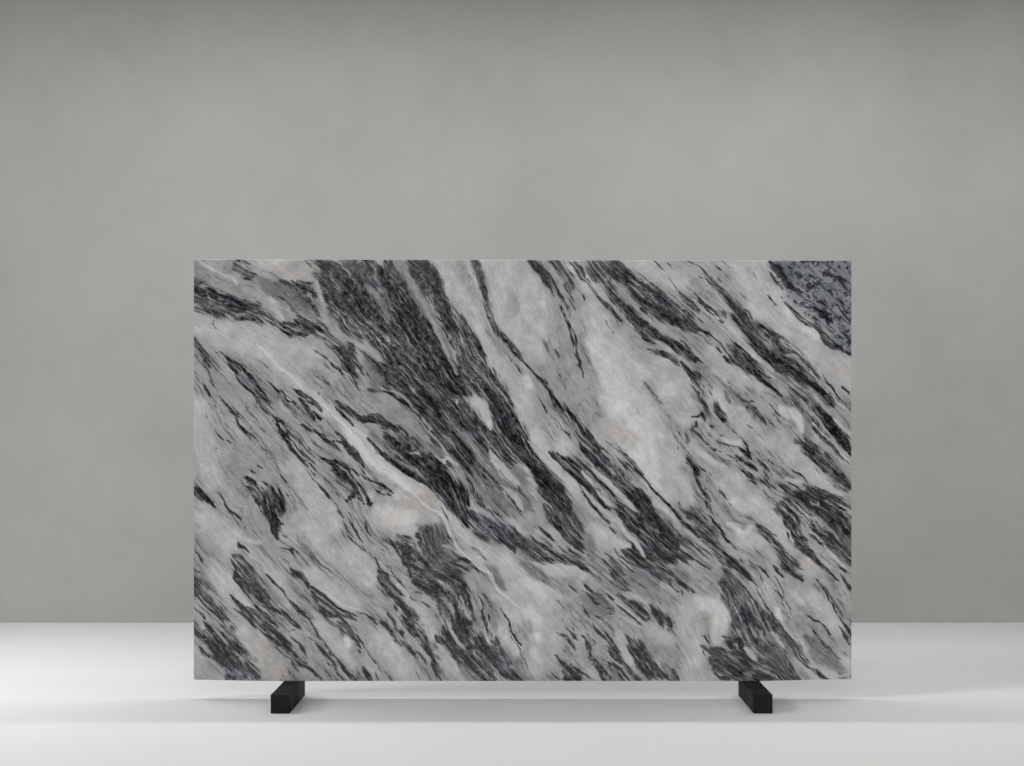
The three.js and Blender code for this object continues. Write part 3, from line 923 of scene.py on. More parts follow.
LOWER_INNER_LEFT = {
    "grey": [
        [(124, 97, 4), (130, 101.5, 5), (136.5, 108), (142, 113.5, 4)],
        [(129, 90, 4), (135, 97, 5), (141, 104, 4.5)],
        [(124, 83, 3), (130, 89, 3.5), (136, 95, 3.5), (141, 101, 3)],
        [(128, 92, 2), (134, 99, 2.5), (140, 106, 2)],
    ],
    "mid": [
        [(125, 92, 6), (135, 100, 7)],
        [(122, 96, 4), (132, 102, 6), (142, 108, 5)],
    ],
    "pale": [
        [(84.5, 112.5, 6), (93, 111), (100, 111, 5), (104.5, 114.5, 4)],
        [(91, 95, 2.5), (97, 99, 3), (103.5, 103.5), (110, 109.5, 2.5), (114, 115), (118, 121),
         (122, 124.5), (126.5, 126.5, 3), (132.5, 130.5, 3.5)],
        [(76.5, 103.5, 1.5), (78, 104)],
        [(70, 131, 5), (76, 140)],
        [(137, 134, 5), (143, 141)],
        [(83, 112, 4), (89, 116, 4), (95, 118, 3)],
        [(88, 119, 1.5), (93, 121, 1.2), (97, 119, 1)],
    ],
    "cream": [
        [(91, 105.5, 4), (98, 109)],
        [(102, 102, 2.5), (107, 107)],
    ],
    "blush": [
        [(84, 112, 3.5), (91, 114.5, 3), (97, 113, 2.5)],
    ],
    "streaky": [
        [(130, 110, 2.5), (136, 114, 3), (142, 119, 2.5)],
        [(126, 92, 1.6), (132, 98, 2), (138, 104, 2), (144, 110, 1.6)],
        [(112, 134, 1.6), (114, 138, 2), (118, 142, 1.6)],
    ],
    "gloom": [
        [(92, 123, 3), (98, 127, 6), (103, 132, 7), (108, 138, 8), (113, 144, 7), (118, 150, 5)],
        [(120, 112, 4), (127, 117, 5), (134, 121), (141, 126, 4)],
        [(97, 122, 3), (104, 121, 4), (108, 124), (109, 129), (114, 132, 3), (121, 133, 2)],
    ],
    "dusk": [
        [(89.5, 126, 1), (95, 126.5, 3), (97, 130.5, 4), (101, 133.5, 6), (106, 138)],
        [(99, 123, 2), (103.5, 121)],
        [(109.5, 123, 2.5), (102.5, 126.5, 6), (107.5, 130.5, 5)],
        [(112.5, 138, 4), (118, 135.5), (123, 136, 3)],
        [(142, 104.5, 2), (143.5, 106.5)],
        [(81.5, 138.5, 1.3), (83, 141.5)],
        [(123.5, 119, 1), (127.5, 122, 1.2), (132.5, 123.5)],
        [(100, 126, 5), (105, 131), (102, 137, 4)],
        [(84, 76, 2.5), (90, 80, 4), (96, 85, 4.5), (102, 90), (107, 95), (111, 101, 4), (115, 108, 3.5),
         (119, 115, 2.5)],
        [(120, 97, 0.8), (124, 103, 1.4), (128, 109, 1.8)],
        [(135, 116, 1), (140, 120, 1.5), (146, 124, 2)],
        [(92, 91, 0.8), (98, 95, 1.3), (104, 99, 1.6), (108, 103, 1.5)],
    ],
    "plum": [
        [(122.5, 111.5, 3), (126.5, 116, 3.5), (131.5, 118, 3), (136.5, 120), (140.5, 123),
         (144, 125.5, 2.5)],
    ],
    "night": [
        [(132.5, 123.5, 0.6), (137.5, 125.5, 1), (140.5, 128, 0.8)],
        [(70, 97, 0.9), (71.5, 100, 1.1)],
        [(100, 92.5, 1.4), (103.5, 94), (108.5, 97.5), (111.5, 98, 2), (113.5, 101.5, 2.4), (115, 106.5),
         (117, 111, 1.9), (120, 116, 1.4)],
        [(117, 98.5, 1.2), (120, 104, 1.4), (121.5, 108.5, 1.4)],
        [(82.5, 99, 0.5), (84, 100, 0.7), (85.5, 101.5, 0.5)],
        [(86.5, 124.5, 0.5), (88.5, 126, 0.7), (90, 129, 0.6)],
        [(90, 129, 0.5), (92, 133, 0.6), (94.5, 137), (96, 141)],
        [(106.5, 119, 0.9), (108.5, 120, 1.1)],
        [(112, 132, 0.5), (113.5, 132.5, 0.9), (117, 132, 0.5), (120, 131.5, 0.4), (123.5, 133.5, 0.3),
         (125.5, 136, 0.4), (127.5, 138), (129.5, 140, 0.3)],
        [(106.5, 137.5, 1.1), (108.5, 138)],
        [(100, 92, 3.5), (108, 97, 4), (114, 104, 4.5), (118, 112, 3.5), (121, 118, 2.5)],
    ],
    "slate": [
        [(105, 121, 4), (106, 126, 6.5), (107.5, 132, 6), (106, 136, 4)],
    ],
    "mist": [
        [(126, 134, 2.5), (132, 139, 3), (137, 145, 2.5)],
    ],
    "strand": [
        [(97, 123, 0.5), (98.5, 125.5), (99.5, 128.5, 0.6)],
        [(109.5, 126, 0.6), (112.5, 126.5, 1), (114.5, 128, 0.4)],
    ],
    "flag": [
        [(82.5, 92, 1), (86, 95.5), (89.5, 99), (94, 102, 0.9), (99, 105.5, 0.7)],
        [(115, 125, 0.8), (117.5, 128.5, 1.2), (122, 130, 1.6), (125.5, 132.5), (128, 136, 1.3),
         (131, 139, 0.8)],
        [(131, 89, 1.2), (137, 94, 1.6), (143, 99, 1.3)],
        [(135, 99, 1.5), (140, 104, 2.2), (145, 110, 1.6)],
    ],
    "hair": [
        [(81, 106.5, 0.4), (77, 107.5, 0.5), (72, 107, 0.4)],
        [(71, 93.5, 0.4), (75.5, 95.5, 0.5), (78.5, 98, 0.4), (81.5, 99.5), (84, 100, 0.6),
         (86.5, 102, 0.5), (89, 103.5, 0.4)],
        [(80, 101.5, 0.4), (84, 103.5), (88, 104.5), (89, 105.5, 0.5)],
        [(72, 104.5, 0.6), (74, 106.5)],
        [(74.5, 110.5, 0.5), (76.5, 112.5)],
        [(75.5, 115, 0.4), (76.5, 119.5), (79, 122, 0.5)],
        [(70, 116.5, 0.4), (72, 120.5, 0.5), (74, 124.5, 0.4), (75.5, 129)],
        [(70.5, 124, 0.4), (73, 127)],
        [(108, 109, 0.4), (110.5, 112.5, 0.5), (113, 117, 0.3)],
        [(117, 116, 0.4), (120, 119.5, 0.5), (122, 122)],
        [(100, 122.5, 0.4), (101.5, 124)],
        [(86, 123.5, 0.4), (88.5, 126, 0.6)],
        [(82.5, 127.5, 0.4), (85, 129.5, 0.5)],
        [(79.5, 131.5, 0.4), (81.5, 135, 0.5), (83.5, 137.5), (86, 140, 0.6)],
        [(84, 134.5, 0.4), (87, 137), (89, 139.5)],
        [(131, 95, 0.5), (136, 100, 0.6), (140, 105, 0.6), (144, 111, 0.5)],
        [(117, 91, 0.5), (121, 97, 0.6), (124, 104, 0.6)],
    ],
    "faint": [
        [(122.5, 126.5, 0.7), (126, 128.5, 0.6), (127.5, 130, 0.4), (129.5, 133, 0.3)],
        [(136.5, 96, 0.5), (139, 99)],
        [(134, 92, 0.5), (139, 97, 0.6), (144, 103, 0.5), (149, 109, 0.5)],
        [(128, 100, 0.5), (133, 106, 0.5), (138, 112, 0.5)],
        [(107, 129, 0.5), (109, 132), (112, 134)],
    ],
    "thread": [
        [(115.5, 100, 0.25), (118, 105), (119, 110.5), (120, 114)],
        [(119.5, 100, 0.3), (121.5, 104.5), (124, 108.5), (127.5, 112.5), (132.5, 116), (135.5, 118)],
        [(114, 95.5, 0.4), (115, 99)],
        [(126.5, 97.5, 0.4), (129, 101.5), (132, 104.5)],
        [(108, 131.5, 0.4), (110, 134)],
        [(80, 130.5, 0.4), (82.5, 134), (85, 137.5)],
        [(128, 98, 0.3), (132, 104)],
        [(99, 119, 0.3), (101, 122), (102, 126)],
    ],
    "vein": [
        [(99, 105.5, 0.8), (103.5, 109), (108, 112), (111, 116.5), (113, 121.5), (115, 125)],
        [(83, 92.5, 0.6), (90, 98), (97, 103.5), (99.5, 106)],
        [(114.5, 124, 0.5), (118, 128), (124, 133.5), (129.5, 138.5)],
    ],
}

LOWER_INNER_RIGHT = {
    "grey": [
        [(148.5, 111, 5), (152, 119, 3), (146.5, 122, 2)],
        [(169, 111, 2), (172.5, 115, 3), (176.5, 119, 4)],
        [(208.5, 119, 1), (212, 123), (215, 125.5)],
    ],
    "mid": [
        [(172.5, 122, 2.5), (175.5, 127.5)],
        [(175.5, 132.5, 1), (180, 137)],
        [(207.5, 115, 0.8), (210.5, 118.5), (214.5, 122)],
    ],
    "pale": [
        [(147, 96.5, 0.8), (150.5, 99, 1), (153.5, 102.5), (155.5, 105, 0.5)],
        [(152, 119.5, 1.4), (154, 121)],
        [(140, 114.5, 1.3), (143, 118), (147, 122.5), (151, 124.5)],
        [(161.5, 92, 2.2), (165, 96.5, 2.5), (169, 101.5), (171.5, 106.5, 2.2), (174.5, 110, 1.5),
         (178, 113.5, 0.8)],
        [(176.5, 119, 3), (181, 123, 4), (184.5, 125, 3), (189.5, 126.5, 2.5), (192, 127.5, 2)],
        [(152, 135.5, 3), (159, 137), (166.5, 137.5, 2.5), (171.5, 139.5, 1.5)],
        [(205, 96, 6), (209, 101)],
        [(200.5, 104.5, 0.8), (204.5, 108, 1), (208.5, 111, 1.2), (212, 115), (214.5, 118)],
    ],
    "streaky": [
        [(201, 122, 2), (207, 128)],
        [(147, 126, 3), (154, 129, 3.2), (161, 132, 3)],
        [(190, 116, 1.6), (196, 121, 2.2), (202, 126, 1.8)],
        [(188, 118, 2), (195, 124, 2.5), (202, 130, 2)],
    ],
    "gloom": [
        [(160, 86, 2.5), (167, 92, 3.5), (174, 99), (181, 106, 3)],
        [(141, 126, 3), (150, 128, 4), (158, 131, 3.5), (166, 132, 3), (173, 135, 2)],
        [(158, 106, 4), (163, 113, 4.5), (167, 120), (171, 128, 4)],
        [(192, 128, 4), (200, 130)],
        [(186, 88, 2), (191, 94, 2.5), (196, 100, 3), (202, 107, 3)],
        [(192, 104, 3), (199, 112, 4), (206, 120, 4.5), (212, 128, 4), (217, 134, 3)],
        [(193, 117, 2.5), (199, 123, 4), (206, 129, 4.5), (213, 134, 3)],
        [(187, 112, 1.5), (193, 118, 2.5), (199, 125, 3), (205, 131, 3)],
        [(140, 121, 3), (147, 126, 4), (155, 130, 3.5), (163, 133, 2.5)],
        [(150, 118, 2), (156, 122, 2.5), (162, 126, 2)],
        [(190, 112, 1.5), (196, 118, 2.2), (202, 124, 2.2), (208, 130, 1.5)],
    ],
    "dusk": [
        [(161.5, 112.5, 2), (163, 117), (165, 121, 2.5), (167, 123.5, 2), (169, 126.5, 1.5), (171.5, 130)],
        [(141, 105.5, 1.5), (142, 107)],
        [(140, 119, 1.5), (143, 122), (146, 125, 1)],
        [(142.5, 125.5, 1.5), (146.5, 128)],
        [(151.5, 127, 2), (154.5, 127.5, 1.5), (157, 127.5)],
        [(152.5, 131.5, 1.5), (157, 132.5), (161.5, 132)],
        [(183.5, 119, 2), (186, 121, 1.5)],
        [(188, 95, 1.5), (192, 98, 1), (195.5, 101), (199.5, 104, 1.5)],
        [(201.5, 136, 2.5), (206.5, 137.5, 3), (209.5, 138, 2)],
        [(180.5, 132, 1), (182.5, 135.5, 0.8)],
        [(186, 108, 2), (191, 113, 3), (196, 118, 3.5), (201, 123), (206, 128, 3)],
        [(190, 128, 3), (195, 131, 3.5), (199, 136), (205, 142, 3)],
        [(184, 131, 1.5), (188, 136, 2), (192, 141, 1.5)],
        [(148, 90, 2.5), (153, 95, 4), (158, 101, 4.5), (163, 108, 4), (166, 113, 2.5)],
        [(155, 108, 2), (159, 114, 3), (163, 120), (168, 127, 2.5)],
    ],
    "plum": [
        [(194, 137, 2), (202, 139, 2.8), (210, 142, 2.2)],
    ],
    "night": [
        [(151, 97.5, 1), (153.5, 97.5, 1.7), (157, 95, 1.4), (159, 99, 2), (162.5, 101.5, 1.4),
         (164, 104, 1)],
        [(158.5, 106.5, 2), (161, 108), (164, 108, 1.6), (165, 112, 2), (167.5, 113, 0.8)],
        [(160, 112, 1.6), (161.5, 117, 1.4), (163, 121)],
        [(172.5, 130, 0.7), (174, 131)],
        [(140.5, 126, 1.1), (141.5, 130, 0.7)],
        [(164.5, 133, 1), (168.5, 135, 0.8), (171.5, 136), (174.5, 137.5, 0.6)],
        [(164.5, 92, 0.7), (167, 95, 0.8), (170, 97.5, 0.9), (172.5, 100), (175.5, 102.5, 0.7),
         (178.5, 106), (181.5, 108.5), (183.5, 110.5, 0.5)],
        [(171, 101.5, 0.3), (172.5, 104.5, 0.5), (175.5, 108.5, 0.7), (178, 111, 0.6), (180, 113.5),
         (182.5, 115.5, 0.5), (184.5, 117, 0.4)],
        [(174.5, 92.5, 0.3), (177.5, 96.5, 0.7), (180, 99, 0.5), (182.5, 101), (185, 104.5, 0.6),
         (188, 107.5, 0.5), (191, 110), (194.5, 112, 1), (193.5, 114, 0.7)],
        [(180.5, 92, 1.4), (183.5, 95), (187, 97, 1.2), (190, 101, 1), (193, 105.5), (196, 108, 1.4),
         (198.5, 110), (197.5, 114.5, 2), (201.5, 113, 1.4), (205.5, 116.5), (209, 120.5, 1), (212, 124),
         (215, 127.5)],
        [(185, 109, 0.5), (188, 112.5, 0.7), (190.5, 115.5, 1), (193.5, 119, 1.4), (196.5, 122, 1.2),
         (199, 125.5, 0.8), (201, 127.5, 0.5)],
        [(193, 129.5, 1.4), (195.5, 130.5, 1.7), (200, 130.5, 2), (204, 130), (208.5, 131.5),
         (212, 131.5, 1.4)],
        [(185.5, 137, 1.1), (187, 138.5)],
        [(194.5, 92, 0.5), (197.5, 95.5), (201, 99), (204, 103), (207, 106), (209.5, 109.5), (213, 112.5),
         (215, 115.5)],
        [(150, 92, 2.5), (155, 98, 4), (159, 104, 4.5), (163, 110, 3.5)],
        [(190, 111, 1.5), (195, 116, 2), (199, 121)],
        [(193, 124, 1.5), (196, 128, 3), (199, 132, 2.5)],
        [(193, 127.5, 1.8), (200, 130, 3.2), (208, 131, 3.4), (215, 131, 2.4)],
        [(200, 112, 2), (207, 120, 2.5), (213, 128, 2.2)],
    ],
    "mist": [
        [(204, 119.5, 1), (205, 120.5)],
        [(145, 134, 3), (151, 138, 3.5), (156, 143, 2.5)],
        [(133, 93, 1.5), (139, 99, 2.2), (145, 106, 2), (150, 112, 1.5)],
    ],
    "strand": [
        [(156.5, 117, 1), (159, 121), (161.5, 125, 1.2), (164.5, 129.5, 0.7)],
        [(159, 124.5, 1.5), (160.5, 129), (162, 130.5)],
        [(188, 92.5, 1), (192, 95, 1.5), (196, 98.5), (199, 101.5, 1), (202.5, 104.5, 0.6)],
    ],
    "flag": [
        [(171, 93, 1), (173.5, 96.5), (176.5, 100, 0.8), (178.5, 103.5), (181.5, 106, 1), (184, 108.5)],
        [(175.5, 92, 0.8), (179.5, 95.5, 0.6), (183, 98.5, 0.8), (186, 101.5, 1), (189.5, 105.5),
         (193, 109.5, 0.9), (195, 111.5, 0.5)],
        [(171, 100, 0.8), (173.5, 103.5), (176.5, 106.5), (180, 110), (183.5, 113), (186, 115.5, 1.2),
         (189.5, 119.5, 1), (193, 123), (196.5, 127.5, 0.7), (199.5, 132, 0.5)],
    ],
    "hair": [
        [(143, 109, 0.3), (143.5, 111), (145, 114)],
        [(160, 126.5, 0.4), (161.5, 128.5)],
        [(165, 125, 0.5), (169, 127.5), (172.5, 130)],
        [(176, 100, 0.6), (180.5, 104.5)],
        [(185, 126.5, 0.4), (188, 131), (191, 135), (194.5, 138.5)],
        [(179.5, 129, 0.4), (182.5, 130.5), (185, 133, 0.5), (187.5, 135.5), (188.5, 138)],
        [(213.5, 104.5, 0.4), (214, 106.5, 0.6), (214.5, 108.5)],
        [(201.5, 109, 0.3), (204.5, 112.5), (207, 116)],
    ],
    "thread": [
        [(186, 110.5, 0.4), (190, 112.5), (193, 116), (196.5, 119, 0.5), (200.5, 122), (204, 125, 0.4)],
        [(199.5, 132, 0.5), (202.5, 135, 0.4), (207.5, 139)],
        [(184.5, 128.5, 0.5), (188.5, 133), (192, 137)],
        [(186, 128, 0.4), (191, 134), (195, 138)],
        [(197, 121, 0.35), (203, 129), (209, 136)],
    ],
    "vein": [
        [(147, 101, 0.3), (149.5, 104), (152.5, 107.5)],
    ],
}

LOWER_RIGHT = {
    "grey": [
        [(222, 111, 2.5), (224, 113)],
        [(222.5, 135.5, 2.5), (228.5, 138, 3)],
        [(248.5, 130.5, 3), (250, 132)],
        [(282.5, 137.5, 1.5), (283.5, 139)],
    ],
    "mid": [
        [(283, 122.5, 4), (286, 126)],
        [(286, 130.5, 2), (287, 131.5)],
        [(284, 111, 1.5), (287, 116.5, 1.2)],
    ],
    "pale": [
        [(215, 98, 4), (218, 106.5, 3)],
        [(215, 122, 0.5), (218, 125), (221.5, 128)],
        [(236, 98, 6), (243, 108, 5)],
        [(268, 92, 2), (272.5, 95, 3), (277, 98.5), (281.5, 101.5, 2), (286, 103.5, 1)],
        [(277.5, 105.5, 0.7), (282.5, 106)],
        [(282, 108, 0.8), (286, 110), (290, 113)],
        [(261, 96.5, 0.8), (268, 98.5)],
        [(244, 123.5, 4), (251, 125.5, 2.5), (253.5, 128.5, 1.5), (256.5, 132, 1)],
        [(242, 104, 4), (250, 110, 5), (258, 114, 3), (264, 120, 2)],
        [(250, 112, 3), (256, 118, 3.5), (262, 125, 3)],
        [(253, 117, 2), (259, 123, 2.5), (265, 129, 2)],
    ],
    "white": [
        [(235.5, 117, 1), (240, 119, 2), (242.5, 121, 1.5), (246, 118, 1)],
    ],
    "cream": [
        [(270, 134, 3), (272.5, 136.5)],
    ],
    "streaky": [
        [(214, 108, 3), (220, 114, 4), (227, 122), (234, 130, 3)],
        [(214, 122, 2.5), (221, 129, 3), (228, 136, 3)],
    ],
    "gloom": [
        [(265, 80, 2.5), (271, 86, 4), (278, 93, 5), (285, 100)],
        [(258, 98, 3), (265, 103, 4), (272, 106)],
        [(268, 82, 3), (275, 89, 4.5), (282, 96, 5), (289, 102, 4)],
        [(258, 108, 3), (266, 106, 6), (274, 107, 7), (282, 112), (290, 117, 6)],
        [(262, 112, 3), (266, 118), (270, 126)],
        [(272, 116, 3), (279, 122), (286, 128), (290, 132)],
    ],
    "dusk": [
        [(242, 93, 1), (248, 96.5, 1.2), (256, 101, 1)],
        [(251, 92.5, 0.5), (252, 96), (253, 97, 1)],
        [(215, 110, 1.5), (218, 112), (221.5, 115, 2), (224.5, 119, 2.5), (228, 123, 3), (232, 125.5)],
        [(215, 116, 1), (219, 119), (223, 123.5)],
        [(220, 125.5, 1), (224.5, 128.5), (229.5, 130.5), (233.5, 134), (237.5, 138)],
        [(263, 103, 1.5), (267, 106.5, 2.5), (270, 109)],
        [(266, 115, 1), (268, 113, 1.5)],
        [(285.5, 109.5, 1.5), (287, 111)],
        [(248, 117, 1), (250.5, 119, 1.5), (253.5, 122, 1.8), (256, 125, 1.5), (258, 127.5, 1.3),
         (259, 130.5, 1.5), (260.5, 134, 1.8), (263, 136.5, 2), (266, 139, 1.8), (268, 141, 1.5)],
        [(260.5, 129.5, 1), (263.5, 132.5), (267.5, 135.5), (270.5, 137, 0.5)],
        [(255.5, 120.5, 1), (257, 122.5)],
        [(255.5, 109.5, 1), (258.5, 111, 1.5), (260.5, 112.5, 1.2), (261.5, 115.5, 1.3), (264, 119),
         (265.5, 122.5, 1.2), (267, 125.5, 1.5), (269.5, 128), (272.5, 130.5), (276.5, 134, 1),
         (279.5, 136.5, 0.7), (282.5, 140, 0.6)],
        [(277.5, 124.5, 0.7), (281.5, 127), (284, 127.5)],
        [(244, 132, 1), (246.5, 134.5), (250.5, 137), (253.5, 140)],
        [(265, 103, 3), (272, 107, 5), (279, 111), (286, 116, 4)],
    ],
    "night": [
        [(220, 92, 0.7), (221.5, 94.5, 0.9), (222.5, 98.5, 0.6), (224, 102, 0.5), (225.5, 105.5)],
        [(216.5, 111, 0.9), (219, 113, 1.1), (221, 115, 0.9)],
        [(230.5, 118.5, 0.5), (232, 119.5, 0.6), (234, 123), (237, 125.5, 0.5)],
        [(234, 129.5, 1.7), (237, 133, 1.5), (240, 136, 1.2), (243, 138.5), (246, 141.5)],
        [(215.5, 130, 1.8), (218, 131.5), (220.5, 133, 0.9)],
        [(260.5, 101, 0.9), (263.5, 103.5, 1.5), (266, 105.5)],
        [(270, 109, 2), (272.5, 112), (275.5, 111, 2.4), (279, 111, 2)],
        [(275, 116, 1.8), (272.5, 117, 1.4)],
        [(265.5, 101, 0.5), (267.5, 102, 0.9), (269.5, 103.5, 0.7), (271.5, 101, 1), (275, 103.5),
         (278, 106, 0.8)],
        [(278, 111.5, 1.4), (280, 113.5), (283.5, 116.5), (286, 119, 1), (289.5, 121, 0.9)],
        [(280, 93.5, 2.4), (284, 96, 2), (287, 98.5), (289.5, 100.5, 1.6)],
        [(260.5, 134, 1.2), (263, 136.5, 1.5), (266, 139, 1.4)],
        [(260.5, 108.5, 0.6), (261.5, 109, 0.8), (263.5, 111, 0.6), (266, 113.5), (267, 117)],
        [(261, 113.5, 0.8), (261.5, 115.5, 1.1), (263, 117.5, 0.8)],
        [(255, 134, 0.4), (257, 136, 0.6), (259, 138, 0.7), (261, 140.5, 0.5)],
        [(271.5, 122, 0.6), (274.5, 124, 0.6), (277.5, 126.5)],
        [(266, 102, 2.5), (272, 108, 4), (278, 114, 4), (283, 119, 2.5)],
    ],
    "strand": [
        [(271.5, 105.5, 0.6), (272.5, 107.5), (274.5, 108.5), (275, 107)],
        [(261, 123, 0.7), (263.5, 125.5), (267, 128.5)],
        [(230.5, 123, 0.5), (234, 126, 0.7), (237.5, 129), (240, 132, 0.4)],
    ],
    "flag": [
        [(271.5, 120.5, 0.6), (276, 124.5), (280, 128.5), (284, 132.5), (288, 136.5)],
        [(258, 83, 2.5), (264, 88, 3), (271, 93, 2.8), (278, 99, 2), (285, 104, 0.8)],
    ],
    "hair": [
        [(224, 102, 0.6), (225.5, 105.5), (226.5, 109, 0.5), (228.5, 113), (230, 117, 0.6), (232, 119.5)],
        [(237, 125.5, 0.6), (240.5, 128.5, 0.4), (242.5, 130, 0.3)],
        [(225, 100.5, 0.6), (226.5, 105), (228.5, 110, 0.5)],
        [(223.5, 106.5, 0.4), (225.5, 108.5), (226.5, 111)],
        [(220, 134.5, 0.4), (223, 136), (226.5, 137)],
        [(223.5, 139.5, 0.5), (224.5, 140.5)],
        [(231, 99.5, 0.3), (232.5, 102.5, 0.6), (234, 104), (235.5, 106, 0.3)],
        [(227, 94, 0.5), (231, 98)],
        [(250, 101, 0.4), (253, 104, 0.5), (256, 106), (259, 109, 0.3)],
        [(244, 96.5, 0.4), (248.5, 99.5)],
        [(257.5, 99.5, 0.5), (260.5, 101, 0.6)],
        [(261, 98, 0.4), (266, 100), (270, 100.5)],
        [(280, 103.5, 0.4), (283.5, 105.5, 0.5), (288.5, 106.5)],
        [(285, 109, 0.4), (289, 111)],
        [(263, 92, 0.4), (267.5, 95), (271.5, 99)],
        [(261, 120.5, 0.4), (263, 123.5)],
        [(266, 121, 0.5), (269, 125)],
        [(268, 120.5, 0.4), (271.5, 122, 0.6), (274.5, 124, 0.7), (277.5, 126.5), (280.5, 129, 0.4)],
        [(271.5, 127.5, 0.4), (275.5, 130), (279, 132.5, 0.5), (282, 135, 0.6), (285, 135.5),
         (288, 138.5, 0.5)],
        [(254, 133, 0.4), (257, 136, 0.6)],
        [(220, 92, 0.8), (223, 99, 0.8), (226, 106, 0.8), (229, 113, 0.7), (233, 120, 0.6)],
    ],
    "faint": [
        [(236, 107.5, 0.6), (237, 109)],
        [(240, 131, 0.5), (242.5, 134)],
        [(245.5, 124.5, 0.4), (248.5, 128.5), (252.5, 132.5)],
    ],
    "thread": [
        [(225.5, 107, 0.4), (227.5, 111), (229.5, 114), (232, 117.5)],
        [(224.5, 128.5, 0.4), (229.5, 132), (234, 135), (239, 138.5)],
        [(282.5, 120.5, 0.4), (286, 124.5), (290, 128.5)],
        [(262, 103, 0.35), (269, 112), (277, 121)],
    ],
    "vein": [
        [(216.5, 118, 0.35), (221, 122), (224.5, 125)],
    ],
}

